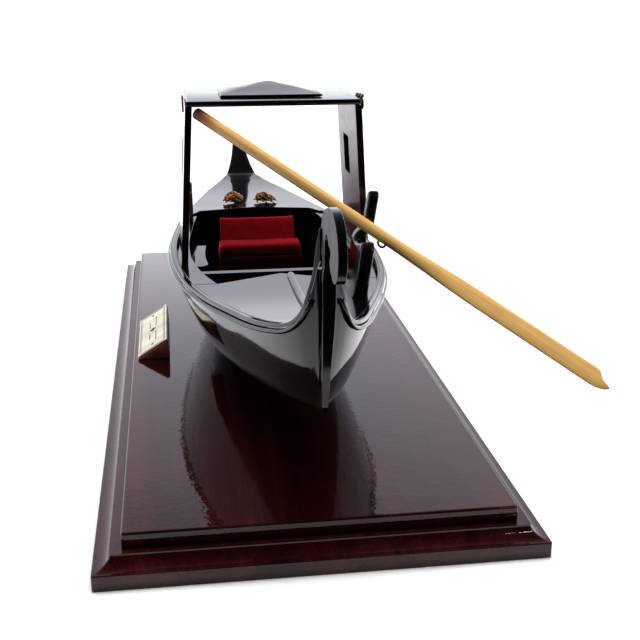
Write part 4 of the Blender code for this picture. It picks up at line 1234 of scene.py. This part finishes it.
def oar_half_sizes(distance):
    """Half width and half thickness at a distance past the pivot; smooth_step keeps the shaft round."""
    t = smooth_step((distance - BLADE_START) / BLADE_FLATTENS)
    return (SHAFT_R + (BLADE_HALF_WIDTH - SHAFT_R) * t, SHAFT_R + (BLADE_HALF_THICK - SHAFT_R) * t)


def make_oar(mats):
    """Round shaft that flattens into the blade, with a skewed, rounded tip and an eased handle end."""
    tip, skew = 7 * MM, 3.2 * MM
    ease = 0.9 * MM
    handle = -HANDLE_REACH
    places = [handle + ease * (1 - math.cos(math.radians(a))) for a in (0, 30, 60, 90)]
    places += evenly(-108 * MM, 8 * MM, 30) + evenly(BLADE_START, BLADE_REACH - tip, 60)
    places += [BLADE_REACH - tip * k for k in (0.85, 0.7, 0.57, 0.45, 0.34, 0.25, 0.17, 0.1, 0.05, 0.0)]
    rings = []
    for distance in places:
        half, thick = oar_half_sizes(distance)
        back = (distance - (BLADE_REACH - tip)) / tip
        if back > 0:
            half *= math.sqrt(1 - 0.96 * back * back)
        near = (distance - handle) / ease
        if near < 1:
            shrink = 0.72 + 0.28 * math.sqrt(max(1 - (1 - near) ** 2, 0))
            half, thick = half * shrink, thick * shrink
        ring = []
        for turn in turns(36):
            slip = skew * max(back, 0) * math.cos(turn)
            ring.append(Vector((distance - slip, half * math.cos(turn), thick * math.sin(turn))))
        rings.append(ring)
    shaped("rowing_oar", loft(rings), mats["oar"], "pale_wood", "oar", sharp=60, at=oar_matrix(), body="oar")


def make_wire_eye(mats):
    """A bent loop of wire hanging under the shaft, its ends let into the wood."""
    down = Vector((0, 0, -1))
    down = (down - ALONG * ALONG.dot(down)).normalized()
    side = ALONG.cross(down)
    ahead, reach, drop = 7.2, 2.2, 2.0
    start = PIVOT + ALONG * ahead * MM + down * (SHAFT_R + WIRE_R * 0.2)
    rings = []
    for degrees in range(-100, 101, 5):
        turn = math.radians(degrees)
        centre = start + ALONG * reach * MM * (1 + math.sin(turn))
        centre += down * drop * MM * (math.cos(turn) + 0.18)
        outward = (ALONG * math.sin(turn) + down * math.cos(turn)).normalized()
        rings.append([centre + (outward * math.cos(a) + side * math.sin(a)) * WIRE_R for a in turns(14)])
    shaped("bent_wire_eye", loft(rings), mats["wire"], "dark_wire", "oar_wire_eye", sharp=50, body="oar")


def dress_kept_nodes(mats):
    """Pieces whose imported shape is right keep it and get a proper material."""
    looks = [(name, mats["steel"]) for name in SCREWS]
    looks += [(name, mats["raw_wood"]) for name in ("mounting_block_1", "mounting_block_2")]
    for name, mat in looks:
        for slot in frame["nodes"][name].material_slots:
            slot.material = mat


# ---------------------------------------------------------------- stage

def make_paper():
    """Pale paper under the model that ends just in front of it, below the camera's view."""
    mat, tree, shader = new_material("studio_floor", {"Specular IOR Level": 0.1})
    paper = grain(tree, place(tree), 30, 3)
    colour = ramp(tree, paper, ((0.3, 0.90), (0.7, 0.93)))
    finish_material(tree, shader, colour, spread(tree, paper, 0.8, 0.9))
    bm = bmesh.new()
    bmesh.ops.create_grid(bm, x_segments=8, y_segments=8, size=FLOOR_HALF)
    floor = new_object("studio_floor", bm, mat)
    floor.location = (0, FLOOR_HALF - FLOOR_FRONT, -0.1 * MM)


def make_world():
    """Pale to the eye; lights and reflects as a surround that is dark overhead and in front."""
    world = bpy.data.worlds.new("soft_studio")
    world.use_nodes = True
    tree = world.node_tree
    axes = add(tree, "SeparateXYZ", {"Vector": add(tree, "TexCoord").outputs["Generated"]}).outputs
    height = ramp(tree, axes["Z"], ((0.0, 1.0), (0.12, 0.95), (0.28, 0.86), (0.48, 0.72), (0.62, 0.36),
                                    (0.80, 0.15), (0.93, 0.04), (1.0, 0.02)))
    share = add(tree, "MapRange", {"Value": axes["Y"], "From Min": -0.6, "From Max": 0.0},
                interpolation_type="SMOOTHSTEP").outputs["Result"]
    around = mix(tree, share, (0.015, 0.015, 0.018), (1.20, 1.22, 1.33))
    lit = mix(tree, 1.0, around, height, "MULTIPLY")
    seen = add(tree, "LightPath").outputs["Is Camera Ray"]
    pale = (1.1, 1.1, 1.1)
    tree.links.new(mix(tree, seen, lit, pale), tree.nodes["Background"].inputs["Color"])
    bpy.context.scene.world = world


def soft_light(name, place_at, target, size, power, mirrored=True):
    """Square softbox; one that isn't mirrored lights the scene without a reflection of itself."""
    data = bpy.data.lights.new(name, "AREA")
    data.shape, data.size, data.energy = "SQUARE", size, power
    light = join_scene(name, data)
    light.location = place_at
    light.visible_glossy = mirrored
    light.rotation_euler = (Vector(target) - Vector(place_at)).to_track_quat("-Z", "Y").to_euler()


def make_camera():
    data = bpy.data.cameras.new("view")
    data.lens, data.sensor_width = CAMERA_LENS, 36.0
    camera = join_scene("view", data)
    camera.location = CAMERA_AT
    camera.rotation_euler = [math.radians(a) for a in CAMERA_TURN]
    bpy.context.scene.camera = camera


def make_stage():
    make_camera()
    make_paper()
    make_world()
    soft_light("overhead_softbox", (0.0, 0.3, 1.6), (0, 0.3, 0), 1.6, 38, mirrored=False)
    soft_light("front_right_softbox", (0.75, -0.9, 0.9), (0, 0, 0.08), 0.3, 3)
    bpy.context.scene.view_settings.view_transform = "Standard"
    bpy.context.scene.view_settings.look = "Medium High Contrast"


def main():
    mats = make_materials()
    for make in (make_plinth, make_top_board, make_nameplate, make_hull, make_stern_post, make_prow_post,
                 make_caps_and_rails, make_side_decks, make_aft_deck, make_fore_deck, make_floor,
                 make_crossbeam, make_batten, make_benches, make_seat, make_walls, make_roof,
                 make_roof_scrolls, make_deck_carvings, make_rests, make_oar, make_wire_eye,
                 dress_kept_nodes):
        make(mats)
    make_stage()


main()
